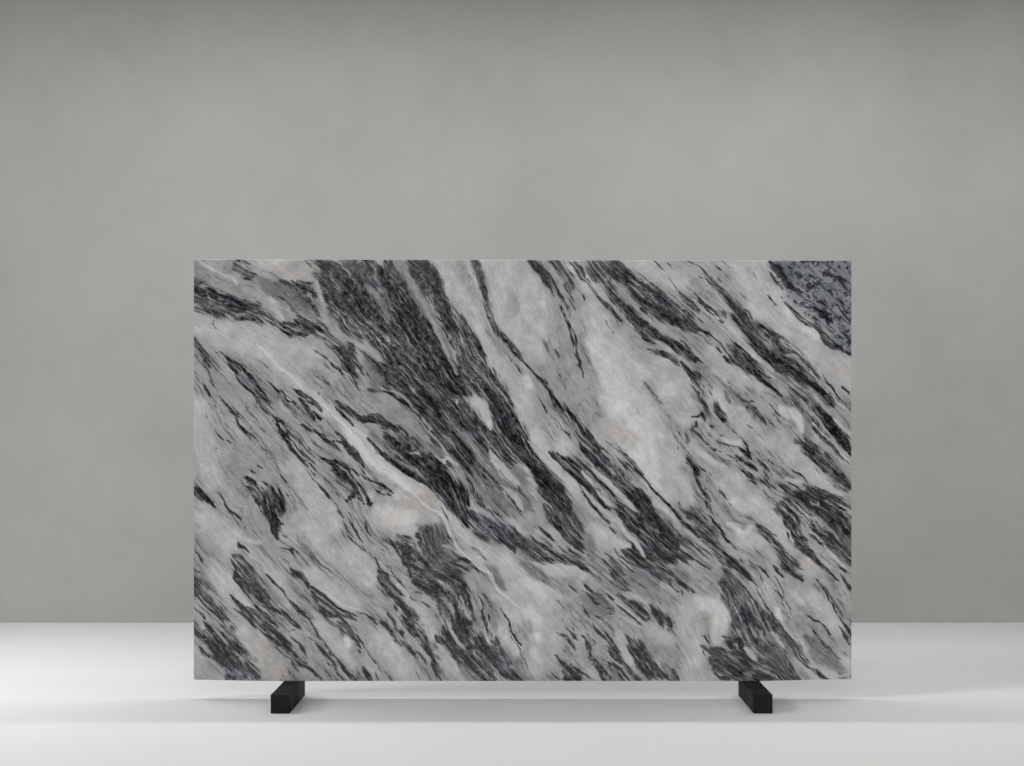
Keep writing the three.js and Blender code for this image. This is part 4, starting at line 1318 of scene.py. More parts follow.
BOTTOM_LEFT = {
    "grey": [
        [(3, 180, 5), (9, 185)],
        [(50, 170, 3), (54, 176), (57, 180)],
    ],
    "mid": [
        [(35, 142, 4), (39, 148, 3.5)],
    ],
    "pale": [
        [(10, 138, 5), (18, 146)],
        [(22, 165, 3), (26, 170), (30, 175, 4)],
        [(36, 140, 3), (42, 150)],
        [(52, 140, 4), (60, 146), (70, 152)],
        [(56, 162, 3), (60, 167, 3.5), (64, 171.5, 3), (67.5, 175.5, 2), (70, 179, 1.5)],
        [(20, 148.5, 1.2), (27, 155, 1.5), (35, 161, 1)],
    ],
    "white": [
        [(67.5, 168, 1.5), (68.5, 170)],
    ],
    "cream": [
        [(28, 172, 4), (33, 178, 5), (38, 182, 4)],
        [(48, 183, 2.5), (50, 185)],
    ],
    "blue": [
        [(12, 170, 1.5), (14, 178, 2), (17, 183, 3), (20, 185)],
    ],
    "streaky": [
        [(5, 150, 5), (15, 158)],
        [(38, 170, 1.5), (42, 176, 2), (46, 182, 1.5)],
        [(40, 168, 2), (45, 174, 2.5), (50, 180, 2)],
        [(24, 146, 2), (30, 152, 2.5), (36, 158, 2.5), (42, 164, 2)],
    ],
    "gloom": [
        [(0, 138, 3), (5, 145), (8, 152)],
        [(16, 132, 2), (22, 138, 4), (28, 146), (34, 153, 3.5)],
        [(20, 152, 1.8), (27, 158, 3), (34, 164, 3.2), (40, 169, 2.5)],
        [(4, 163, 2.5), (10, 169, 4), (16, 175, 4), (22, 181, 3)],
        [(19, 168, 1.5), (24, 175, 2.2), (29, 182, 2)],
    ],
    "dusk": [
        [(0, 139, 1.5), (3, 140.5), (5, 142.5), (6, 144, 1)],
        [(0, 143, 1.5), (1.5, 146), (1, 148)],
        [(0, 162, 2), (2, 164.5), (5, 167, 1.5)],
        [(13, 161, 2), (16, 164, 2.5), (19.5, 167.5, 2)],
        [(20, 139, 2), (22, 142, 2.5), (25, 145.5), (28, 148.5, 2), (30, 151, 1.5), (32.5, 154, 1)],
        [(16, 175.5, 1.2), (18, 177, 1.5), (20.5, 179.5), (22.5, 181), (24.5, 183, 1.3), (27, 185, 1.5)],
        [(23, 178, 2), (26, 181, 2.5), (28.5, 184.5)],
        [(63, 160, 1.5), (66.5, 163, 2.2), (69, 165.5, 2.5), (71, 168, 1.5)],
        [(51.5, 146.5, 1.2), (53.5, 149, 1), (55, 152)],
        [(62, 155, 0.6), (65, 157, 0.9), (68, 158, 1), (71, 159.5, 0.7)],
        [(63.5, 158, 1.5), (66, 160.5, 1), (69, 164), (71, 167), (74, 172)],
        [(36, 170.5, 0.8), (38.5, 173, 0.6), (41.5, 176, 0.4)],
        [(22, 153, 1.5), (28, 158, 2.5), (34, 163, 3), (40, 168, 2.5)],
    ],
    "night": [
        [(2.5, 170, 0.7), (4, 172.5, 0.8), (6.5, 174.5), (9, 175.5, 1), (11.5, 177), (14, 179, 0.7),
         (16, 181, 0.3)],
        [(5, 168.5, 0.8), (7.5, 169.5, 1), (9.5, 171, 1.2), (10.5, 174), (12, 176.5), (13.5, 178.5, 0.8)],
        [(4.5, 159.5, 1), (7, 162.5, 1.2), (10, 164.5, 0.8)],
        [(9.5, 166.5, 0.4), (11, 168.5, 0.5), (12.5, 170.5, 0.7), (14, 172.5), (15.5, 174, 0.9), (18, 175),
         (20, 175, 0.7)],
        [(13.5, 166.5, 1), (15.5, 168, 1.2), (17.5, 170, 1.8), (19.5, 172, 1.3), (21.5, 173.5, 0.8)],
        [(16, 147.5, 0.5), (17.5, 149, 0.6), (19.5, 151.5, 0.8), (21.5, 153.5), (23.5, 155.5, 0.9),
         (25.5, 157.5, 1), (28, 159.5, 0.8), (30, 161), (32.5, 162.5, 1), (35.5, 164.5, 1.4),
         (38.5, 166.5), (41, 168, 1)],
        [(29, 163.5, 0.7), (31.5, 165.5, 1), (34.5, 167, 1.4), (37, 169, 1.2), (39.5, 170.5, 0.9),
         (41, 172, 0.5)],
        [(18.5, 138, 1.1), (20, 140.5, 0.9)],
        [(24.5, 141.5, 0.5), (27, 144.5, 0.7), (29.5, 148, 0.8), (31.5, 152, 0.7), (33, 154.5, 0.5)],
        [(27, 148, 1.2), (30, 150.5)],
        [(32.5, 139, 0.4), (34, 140.5, 0.5), (36, 143, 0.7), (38.5, 145.5, 0.5), (40.5, 149),
         (43, 151.5, 0.7), (45.5, 154.5, 0.9), (48, 156.5), (50.5, 159, 0.6), (52.5, 162, 0.5),
         (54, 165, 0.7), (56.5, 168, 0.5), (59, 171), (61.5, 174, 0.6), (63.5, 176.5, 0.7), (65.5, 179),
         (67.5, 182, 0.9), (70, 184.5), (72, 186, 0.7)],
        [(33.5, 152.5, 0.7), (36, 154.5, 1), (38.5, 155.5, 1.2), (41, 157.5), (43, 159.5, 0.9),
         (45, 161.5, 0.7), (47.5, 163, 0.4)],
        [(53, 168, 0.6), (55.5, 170.5, 1), (57.5, 172.5, 1.2), (59.5, 174.5, 1), (61, 177, 0.7),
         (63, 179.5, 0.5)],
        [(42, 136.5, 0.6), (44.5, 139, 1), (47, 139, 1.2), (48.5, 141.5, 1), (50, 145, 0.8)],
        [(55, 152, 0.6), (56.5, 154, 1), (58.5, 156), (61, 157, 1.2), (63.5, 158, 1)],
        [(46.5, 169, 0.5), (48, 171.5, 0.8), (49, 174, 0.6)],
        [(48, 179, 0.6), (51, 180.5, 0.7), (54, 183), (57, 185.5, 0.8)],
    ],
    "hair": [
        [(17, 140, 0.7), (20, 143.5, 0.6), (23, 147), (26.5, 150.5), (29.5, 154), (32, 156.5), (34.5, 159),
         (37, 162), (39, 164)],
        [(17, 153, 0.7), (20, 156), (23, 158.5), (26, 161), (29, 163.5)],
        [(0, 147, 0.4), (2, 149.5, 0.5), (4.5, 152), (6.5, 154.5), (10, 156, 0.7), (12, 158.5), (14, 161),
         (16, 163.5, 0.6)],
        [(0, 153, 0.5), (3, 156, 0.7), (5.5, 158.5)],
        [(11.5, 163.5, 0.4), (13.5, 165.5, 0.6), (15.5, 167.5, 0.7)],
        [(12.5, 172.5, 0.5), (15, 174, 0.6)],
        [(31, 144, 0.4), (32, 146, 0.6), (33, 147.5, 0.3)],
        [(41, 163.5, 0.6), (43, 163.5, 0.7), (45.5, 163.5, 0.6)],
        [(42, 166, 0.4), (44, 168, 0.6), (46, 169)],
        [(45, 166, 0.3), (46.5, 169, 0.5), (48, 171.5, 0.6), (49, 174), (51, 176.5, 0.5)],
        [(44, 172.5, 0.4), (46, 173.5, 0.7), (47, 174.5)],
        [(49.5, 166, 0.4), (51.5, 167, 0.7), (54, 168.5)],
        [(61, 177, 0.7), (63, 179.5), (64.5, 181.5, 0.6)],
        [(56, 175.5, 0.3), (58, 177.5, 0.6), (60.5, 180, 0.7)],
        [(45, 177, 0.7), (48, 179), (51, 180.5)],
        [(48, 176.5, 0.6), (50.5, 178.5)],
        [(40, 178, 0.3), (42.5, 179.5)],
        [(39, 183.5, 0.4), (41.5, 185, 0.7)],
        [(42.5, 182, 0.5), (43.5, 184)],
        [(57.5, 180, 0.5), (60, 183, 0.6), (61.5, 184)],
        [(63, 181.5, 0.5), (65, 184, 0.6), (67, 186, 0.7)],
        [(50, 144, 0.5), (53, 145.5, 0.7), (56, 147), (58.5, 149), (61, 151.5), (63.5, 153.5), (66.5, 155),
         (70, 157), (73, 158.5, 0.5)],
        [(70.5, 163.5, 0.4), (72.5, 166, 0.7), (74.5, 168, 0.6)],
        [(72, 172, 0.4), (74, 173.5, 0.6), (73.5, 175)],
        [(74, 179.5, 0.6), (75, 180.5)],
    ],
    "thread": [
        [(57, 146, 0.5), (62, 149.5, 0.7), (67, 153), (72, 154.5, 0.5), (76, 156.5, 0.4)],
        [(29, 162, 0.3), (33, 165), (37, 167.5), (40, 170)],
        [(21, 143.5, 0.3), (24, 147), (27, 150.5), (30, 153.5), (33, 157)],
        [(58, 138, 0.3), (62, 141), (67, 144)],
        [(54, 165.5, 0.6), (58, 170.5), (62, 175.5), (65, 180), (68, 185)],
        [(11, 165, 0.4), (13.5, 168.5), (16, 171)],
    ],
}

BOTTOM_INNER_LEFT = {
    "grey": [
        [(124, 141, 3), (128, 147, 4)],
        [(104, 151, 3), (106, 154)],
        [(124.5, 155, 1.2), (126.5, 160), (128.5, 165), (129.5, 172)],
        [(68, 150, 1.5), (73, 157, 2), (78, 164, 1.5)],
    ],
    "mid": [
        [(105, 168, 1.5), (108, 171, 2), (111, 173.5), (114, 177, 2.5), (118, 181, 3), (122, 184.5)],
        [(140, 174, 3), (144, 180, 2)],
        [(106, 176, 0.8), (109, 181), (112, 185)],
    ],
    "pale": [
        [(84, 168, 5), (90, 178), (96, 186)],
        [(90, 143, 1.2), (93.5, 147.5), (97, 151.5), (99, 155)],
        [(100, 157, 3), (103, 162), (105, 166, 2.5)],
        [(133, 160, 1.5), (136, 164, 3), (139, 168), (143, 172)],
        [(132, 138, 4), (138, 146, 6), (142, 154)],
        [(107.5, 172.5, 1.2), (109.5, 175, 1.8), (111, 178, 2), (113, 180), (115.5, 182, 1.5),
         (117.5, 184.5, 1.2), (118.5, 186)],
        [(130, 168, 2), (135, 175, 2.5), (140, 182, 2)],
    ],
    "gloom": [
        [(81, 137, 2), (85, 143, 3), (90, 149, 3.5), (94, 154, 3)],
        [(98, 141, 3), (105, 143, 5), (112, 145, 6), (117, 151, 5), (119, 159), (121, 167, 4)],
        [(118, 172, 3), (124, 178, 4), (130, 183)],
        [(90, 123, 4), (97, 129, 6.5), (104, 135, 7), (111, 142, 6), (116, 151, 5), (119, 161, 4.5)],
        [(107, 166, 2.5), (112, 173, 4), (117, 181, 4.5)],
        [(121, 163, 3), (126, 170, 3.5), (130, 179, 3)],
        [(107, 147, 3), (112, 154, 4), (116, 161, 4.5), (120, 168, 4)],
        [(108, 152, 1.5), (113, 159, 2.2), (118, 166, 2.2)],
    ],
    "dusk": [
        [(81, 139.5, 1.2), (82.5, 141.5, 1.8), (84.5, 143.5, 1.5), (87, 146), (89, 148.5, 2),
         (91.5, 151, 2.2), (94, 153.5), (96, 156, 2.5), (97.5, 159.5), (98.5, 162.5), (100, 165.5, 2),
         (101, 168.5), (103, 171.5, 1.5), (104.5, 174.5, 1.2), (106, 178), (107.5, 181.5), (109, 185)],
        [(82, 160, 0.5), (85, 162, 0.6), (87.5, 165, 0.7), (90, 168.5, 0.9), (93, 170.5, 0.8),
         (95.5, 172.5, 0.7), (98, 174.5, 0.5)],
        [(97, 139, 3), (101, 142, 4), (106, 145), (111, 143, 6), (115, 147, 5), (116, 152, 4.5),
         (117, 157, 4), (119, 162, 3.5), (121, 166, 3), (122, 169, 2.5)],
        [(127, 151, 0.8), (128, 154)],
        [(127, 157, 0.8), (128.5, 161, 1), (130.5, 166), (132, 169)],
        [(131, 161, 0.8), (133, 166), (134.5, 170, 1.2)],
        [(128, 179, 1), (130.5, 183, 1.5), (132.5, 186)],
        [(140, 183, 1.5), (143, 185.5, 2)],
        [(104, 142, 3), (111, 144, 4), (116, 150), (118, 158, 3.5), (120, 165, 3)],
        [(108, 150, 1.5), (112, 156, 2), (116, 163, 2)],
    ],
    "plum": [
        [(131, 168, 1.5), (133.5, 172, 3), (135.5, 176, 3.5), (138, 180), (141, 184)],
    ],
    "night": [
        [(88.5, 152, 0.6), (89, 154.5, 0.9), (90, 156.5, 0.6)],
        [(87.5, 148, 0.9), (90.5, 151, 1.2), (93, 153.5, 0.9)],
        [(91, 157.5, 1.2), (93.5, 160), (96, 163.5, 1.4), (98.5, 167, 1.2)],
        [(100.5, 168.5, 0.5), (103, 172.5, 0.6), (104.5, 175.5, 0.5), (106, 179, 0.6), (108, 182.5)],
        [(85, 156, 0.5), (86.5, 158.5, 0.7), (88.5, 161), (90.5, 164, 0.8), (93, 166.5, 0.7), (95, 169),
         (97, 172, 0.5)],
        [(96, 142, 1), (99, 144), (103, 144.5, 1.7), (107, 145.5, 1.4), (108, 148, 1)],
        [(104, 139.5, 0.7), (108, 139.5, 0.8), (112, 140), (116, 141, 1), (119, 144, 1.4),
         (119.5, 147.5, 0.7)],
        [(113, 150, 1.8), (115, 148.5)],
        [(117, 156, 1.6), (119, 161, 1.8), (121, 166, 1.6)],
        [(120.5, 158.5, 0.8), (122, 162), (124, 165.5, 0.6), (126, 169, 0.6)],
        [(120, 170.5, 0.7), (122, 171, 1.1), (124, 170.5), (126, 171.5, 0.7)],
        [(109.5, 162, 0.5), (110.5, 164.5, 0.8), (112, 167.5, 1.1), (114, 170.5, 1.5), (116.5, 173.5, 1.6),
         (119.5, 176.5, 1.4), (122, 179, 1.2), (124.5, 181.5, 1), (126.5, 184, 1.2), (128.5, 186, 1.4)],
        [(131.5, 179.5, 1.1), (133.5, 180.5, 0.9)],
        [(134.5, 182, 1), (136.5, 183, 1.3), (139, 184, 1.3), (141.5, 184), (143.5, 185, 1)],
        [(73.5, 179, 0.3), (75.5, 181, 0.7), (77.5, 184, 1), (78.5, 186)],
        [(70, 183, 0.7), (72, 186, 1.1)],
        [(96, 141, 0.8), (101, 143.5, 1.3), (107, 145, 1.2)],
        [(109.5, 161, 0.8), (112, 166, 2), (114.5, 171, 2.2), (118, 176.5, 1.2)],
    ],
    "mist": [
        [(111.5, 152, 1.3), (113, 153.5)],
        [(128, 147, 2), (131, 155, 2.5), (133, 164, 2.5)],
    ],
    "strand": [
        [(101, 140.5, 0.6), (104, 141.5)],
        [(117, 148, 0.6), (119, 152), (120.5, 156), (122, 159)],
        [(87.5, 156, 0.8), (90, 160), (94, 166, 0.9), (98, 171.5), (101, 175.5), (104, 180)],
    ],
    "flag": [
        [(107, 169, 0.6), (110, 173, 1.6), (114, 178, 1.8), (117.5, 183.5, 0.8)],
    ],
    "hair": [
        [(83.5, 156, 0.6), (85, 156)],
        [(97, 172, 0.6), (99.5, 174.5), (101.5, 177), (103.5, 179.5, 0.5)],
        [(70, 155, 0.4), (72.5, 156.5, 0.5), (75, 156.5, 0.4), (77, 157.5), (79, 158.5, 0.5),
         (80.5, 160.5), (82, 160.5)],
        [(70, 158.5, 0.5), (72, 160, 0.6)],
        [(71, 164, 0.5), (73, 167, 0.7), (75.5, 169.5, 0.6)],
        [(72.5, 172, 0.5), (73.5, 174)],
        [(79, 176, 0.5), (80.5, 178, 0.6)],
        [(79.5, 181, 0.6), (81, 184), (82, 186)],
        [(98, 181, 0.4), (99.5, 184), (100, 186)],
        [(86.5, 138.5, 0.5), (89.5, 140.5, 0.6)],
        [(89, 139.5, 0.5), (92, 143.5, 0.6), (95, 147.5, 0.5), (98, 151)],
        [(97, 149, 0.6), (99, 150.5, 0.7), (102, 151.5), (105, 153.5)],
        [(97, 147.5, 0.4), (99, 146.5), (102, 147.5)],
        [(103, 157.5, 0.5), (104, 158.5)],
        [(129.5, 156, 0.6), (131, 161, 0.7)],
        [(134, 153, 0.3), (137, 157, 0.4), (140, 161, 0.5), (141.5, 165), (143.5, 168.5, 0.6), (145, 171)],
        [(125, 146, 0.5), (127, 152, 0.6), (128, 159, 0.5)],
    ],
    "faint": [
        [(126, 146, 0.4), (129, 148.5, 0.7), (132, 150.5, 0.5)],
    ],
    "thread": [
        [(132, 154, 0.3), (132.5, 158), (133, 162)],
        [(125.5, 180, 0.5), (129, 183.5), (132, 186)],
        [(131, 180, 0.4), (134, 184), (135.5, 186)],
        [(102, 148, 0.6), (103, 149)],
    ],
    "vein": [
        [(128.5, 137, 0.8), (131, 139.5, 0.9), (133, 143), (135, 146.5, 0.8), (138, 149, 0.7),
         (141, 151.5, 0.5), (144, 154.5, 0.4)],
        [(86, 149, 0.35), (89, 152.5), (92.5, 156)],
        [(121, 151, 0.3), (121.5, 154.5), (123.5, 157)],
    ],
}

BOTTOM_INNER_RIGHT = {
    "grey": [
        [(150, 139.5, 2.5), (153, 142, 2)],
        [(144, 168, 1.5), (145, 170)],
        [(155, 167.5, 2), (158, 168.5)],
        [(196, 163, 3), (199, 172), (201, 180, 2)],
        [(206, 146, 2), (208, 148)],
        [(206, 176, 3), (210, 178), (213, 174, 2)],
    ],
    "mid": [
        [(145, 181, 2), (147, 184)],
        [(172, 149, 2.5), (175, 153, 4), (179, 154.5, 3.5), (182, 156, 1.5)],
        [(208, 180, 2.5), (211, 184)],
    ],
    "pale": [
        [(145, 140, 5), (152, 152, 7), (156, 165), (152, 178, 6)],
        [(203, 164, 3), (209, 168)],
        [(174, 182, 2), (178, 184)],
        [(189, 137, 0.8), (192, 139, 1), (195, 139.5), (198, 142, 1.5), (201, 143.5, 0.8)],
        [(188, 166, 2), (190, 172), (193, 177)],
    ],
    "white": [
        [(147, 142, 2), (151, 146), (153, 150)],
        [(148, 155, 2.5), (152, 158)],
        [(151, 166, 1.5), (151.5, 168)],
        [(151, 173, 2), (152.5, 176)],
    ],
    "cream": [
        [(153, 170, 2), (154.5, 172.5)],
    ],
    "streaky": [
        [(187, 148, 2.5), (193, 153, 3), (199, 159, 2.5)],
        [(206, 134, 1.5), (213, 140, 2.2), (220, 146, 1.8)],
        [(183, 139, 1.5), (188, 144, 2), (194, 146, 1.5)],
    ],
    "gloom": [
        [(183, 132, 2), (188, 138, 4), (194, 143), (200, 146, 3)],
        [(201, 149, 1), (204, 155, 1.8), (208, 161, 1.5)],
        [(186, 130, 1.5), (192, 135, 2), (198, 140, 2), (204, 145, 1.5)],
    ],
    "dusk": [
        [(165.5, 143.5, 1.3), (167, 145), (168.5, 146.5, 1.2)],
        [(140, 180, 1), (142, 183, 1.5), (143.5, 186, 2)],
        [(183, 137, 1), (185, 139.5), (186, 143, 0.7), (188, 145, 0.8), (190.5, 146)],
        [(187, 141, 2), (190, 143.5, 2.5), (194, 145), (197, 146.5, 1.5)],
        [(199, 139, 1.5), (201, 137.5)],
        [(203, 138.5, 1), (206, 140, 1.5), (208, 142, 1)],
        [(208, 137, 1.2), (211, 139.5, 1.5), (213.5, 142), (215, 143.5)],
        [(194, 149.5, 0.6), (197, 151.5, 1), (199, 154)],
        [(182, 170, 0.6), (184, 172.5, 0.8), (187, 176, 1.3), (190, 178.5, 1.5)],
        [(161, 164.5, 0.6), (163, 166, 1), (165.5, 168, 0.9), (167, 170, 0.7), (168.5, 173, 0.5)],
        [(159, 174, 0.8), (161, 176)],
        [(166, 178.5, 1), (169, 182, 1.2), (171, 184.5, 1)],
        [(204, 148.5, 0.8), (205.5, 151), (206.5, 153)],
        [(212, 181, 3), (213.5, 186, 2)],
        [(191.5, 166.5, 2), (195, 171, 3.5), (197.5, 175), (200, 179), (205, 183, 4), (209, 184, 3)],
        [(197, 167.5, 2), (199, 171)],
    ],
    "night": [
        [(175.5, 147.5, 0.6), (177, 147.5, 1), (179, 149, 1.1), (181, 151, 1.3), (183, 153, 1)],
        [(184.5, 137, 0.9), (187.5, 138.5, 1.1)],
        [(192, 150, 0.5), (194, 151, 0.8), (196.5, 153.5, 1), (199, 156, 1), (200.5, 158, 0.8),
         (199, 159.5, 0.6)],
        [(201, 152, 0.6), (202.5, 154, 0.9), (204, 156.5, 0.8), (206, 159, 0.7), (207.5, 161.5, 0.6)],
        [(204.5, 152.5, 0.5), (205.5, 155, 0.6), (207.5, 157, 1), (209, 159), (210.5, 161.5, 0.7),
         (211.5, 163, 0.5)],
        [(190, 165.5, 0.3), (191.5, 166.5, 0.8), (192.5, 169, 1), (194, 172.5, 1.7), (197, 176),
         (199.5, 179.5), (203, 182, 2), (206, 184.5)],
        [(190, 178.5, 1), (192.5, 181, 1.3), (195, 184, 1.4), (197, 186.5, 1.2)],
        [(166, 164.5, 0.6), (167, 165.5, 0.9), (169, 167, 1), (170.5, 168.5, 0.9)],
        [(173, 169, 0.6), (174, 170.5, 0.8), (175, 172.5, 0.9), (175.5, 175, 0.6)],
        [(160.5, 176, 0.6), (161.5, 177, 1), (163.5, 178.5, 1.2), (165.5, 181), (167, 183.5, 1.6),
         (169.5, 185.5, 1.2)],
        [(162, 182, 0.6), (163.5, 183.5, 1.1), (165.5, 185.5, 1.2)],
        [(176.5, 179, 0.4), (177.5, 179.5, 0.6), (179, 181.5, 0.7), (180, 184), (181.5, 186, 0.6)],
        [(182.5, 178, 0.8), (184, 179.5)],
        [(208.5, 142.5, 0.8), (210, 143.5, 0.9)],
    ],
    "slate": [
        [(176, 148, 1.2), (180, 152, 2), (184, 154, 1.5)],
    ],
    "mist": [
        [(190, 135, 3), (197, 141, 4), (205, 146, 3)],
        [(171, 150, 3), (178, 154, 4), (184, 157, 3)],
        [(190, 140, 2.5), (198, 145, 3.5), (206, 150, 3)],
    ],
    "flag": [
        [(194, 148, 0.6), (197, 150.5), (199, 152.5)],
    ],
    "hair": [
        [(170, 142.5, 0.4), (172, 143.5, 0.7), (174, 145.5, 0.6), (175.5, 147.5, 0.7)],
        [(176.5, 147, 0.5), (178, 146), (178.5, 147)],
        [(170.5, 145.5, 0.3), (172.5, 146, 0.4), (174, 148, 0.6), (175.5, 149.5), (177, 150, 0.3)],
        [(174.5, 150.5, 0.4), (176.5, 151.5), (178.5, 151.5)],
        [(170, 151, 0.4), (171.5, 154, 0.5), (173, 157, 0.6), (174, 159, 0.4)],
        [(176.5, 155.5, 0.4), (177.5, 157.5, 0.7), (179.5, 158), (181, 159.5, 0.4)],
        [(181, 147, 0.6), (184, 149.5, 0.7), (188, 150, 0.4)],
        [(186, 152, 0.4), (190, 155), (194, 158.5), (198, 162)],
        [(191, 149.5, 0.4), (194, 151, 0.6)],
        [(194, 155.5, 0.6), (197, 158), (199.5, 160.5)],
        [(203.5, 150, 0.4), (204.5, 152.5, 0.6)],
        [(207.5, 161.5, 0.7), (209.5, 164, 0.6), (211, 166, 0.4)],
        [(188, 145, 0.6), (190.5, 146, 0.7), (193, 146, 0.4)],
        [(203, 138, 0.5), (205.5, 140, 0.7), (207.5, 142.5), (209.5, 143), (211.5, 145.5), (214, 147)],
        [(201, 139.5, 0.4), (204, 141.5), (206, 144)],
        [(161, 145, 0.5), (164, 148)],
        [(140, 163, 0.3), (141, 167), (143.5, 171, 0.5), (145, 176, 0.4), (147.5, 181, 0.3)],
        [(153.5, 141, 0.5), (154.5, 143)],
        [(180.5, 163.5, 0.4), (182, 165.5, 0.7), (184, 168), (186, 171, 0.6), (188.5, 174, 0.4)],
        [(175.5, 160, 0.4), (177, 163, 0.5), (179, 165, 0.7), (181.5, 167.5), (183.5, 169.5, 0.5),
         (187, 173.5, 0.4)],
        [(184.5, 177, 0.5), (187, 180, 0.7), (190, 184), (192, 186)],
        [(186, 182, 0.6), (188, 184.5), (190, 186)],
        [(164, 162, 0.4), (165, 163.5, 0.7), (167, 165.5)],
        [(167, 161.5, 0.3), (167.5, 163.5, 0.6), (168, 165)],
        [(171.5, 164.5, 0.3), (173.5, 165.5, 0.7), (175, 167.5), (176.5, 170), (178, 172, 0.4)],
        [(172.5, 167.5, 0.5), (174, 170.5, 0.6)],
        [(171, 166, 0.5), (173, 168, 0.6)],
        [(161.5, 157.5, 0.3), (164, 160, 0.5)],
        [(171, 173, 0.3), (173, 175.5), (174.5, 178, 0.4), (177.5, 179.5, 0.6)],
        [(170, 181.5, 0.3), (172, 182.5, 0.6), (174, 184.5, 0.7), (175.5, 186.5, 0.5)],
        [(157, 181.5, 0.4), (159.5, 184, 0.5), (162, 186, 0.4)],
    ],
    "faint": [
        [(150.5, 163, 0.6), (150.5, 164)],
        [(176, 176, 0.4), (178, 177.5), (180, 180), (182, 184)],
    ],
    "thread": [
        [(184, 150.5, 0.35), (188, 152), (191, 154.5), (195, 158.5), (199, 162)],
        [(181, 157, 0.4), (186, 156.5), (190, 158), (194, 160.5), (198, 163)],
        [(193, 167.5, 0.3), (196, 171.5)],
        [(198, 177, 0.3), (201, 180.5), (203, 183)],
        [(200.5, 172.5, 0.4), (203.5, 176.5), (207, 181)],
        [(205.5, 138.5, 0.4), (208, 142.5), (210.5, 144.5), (213, 147)],
        [(183.5, 175.5, 0.35), (187.5, 178.5), (190, 181.5), (193.5, 186)],
    ],
}

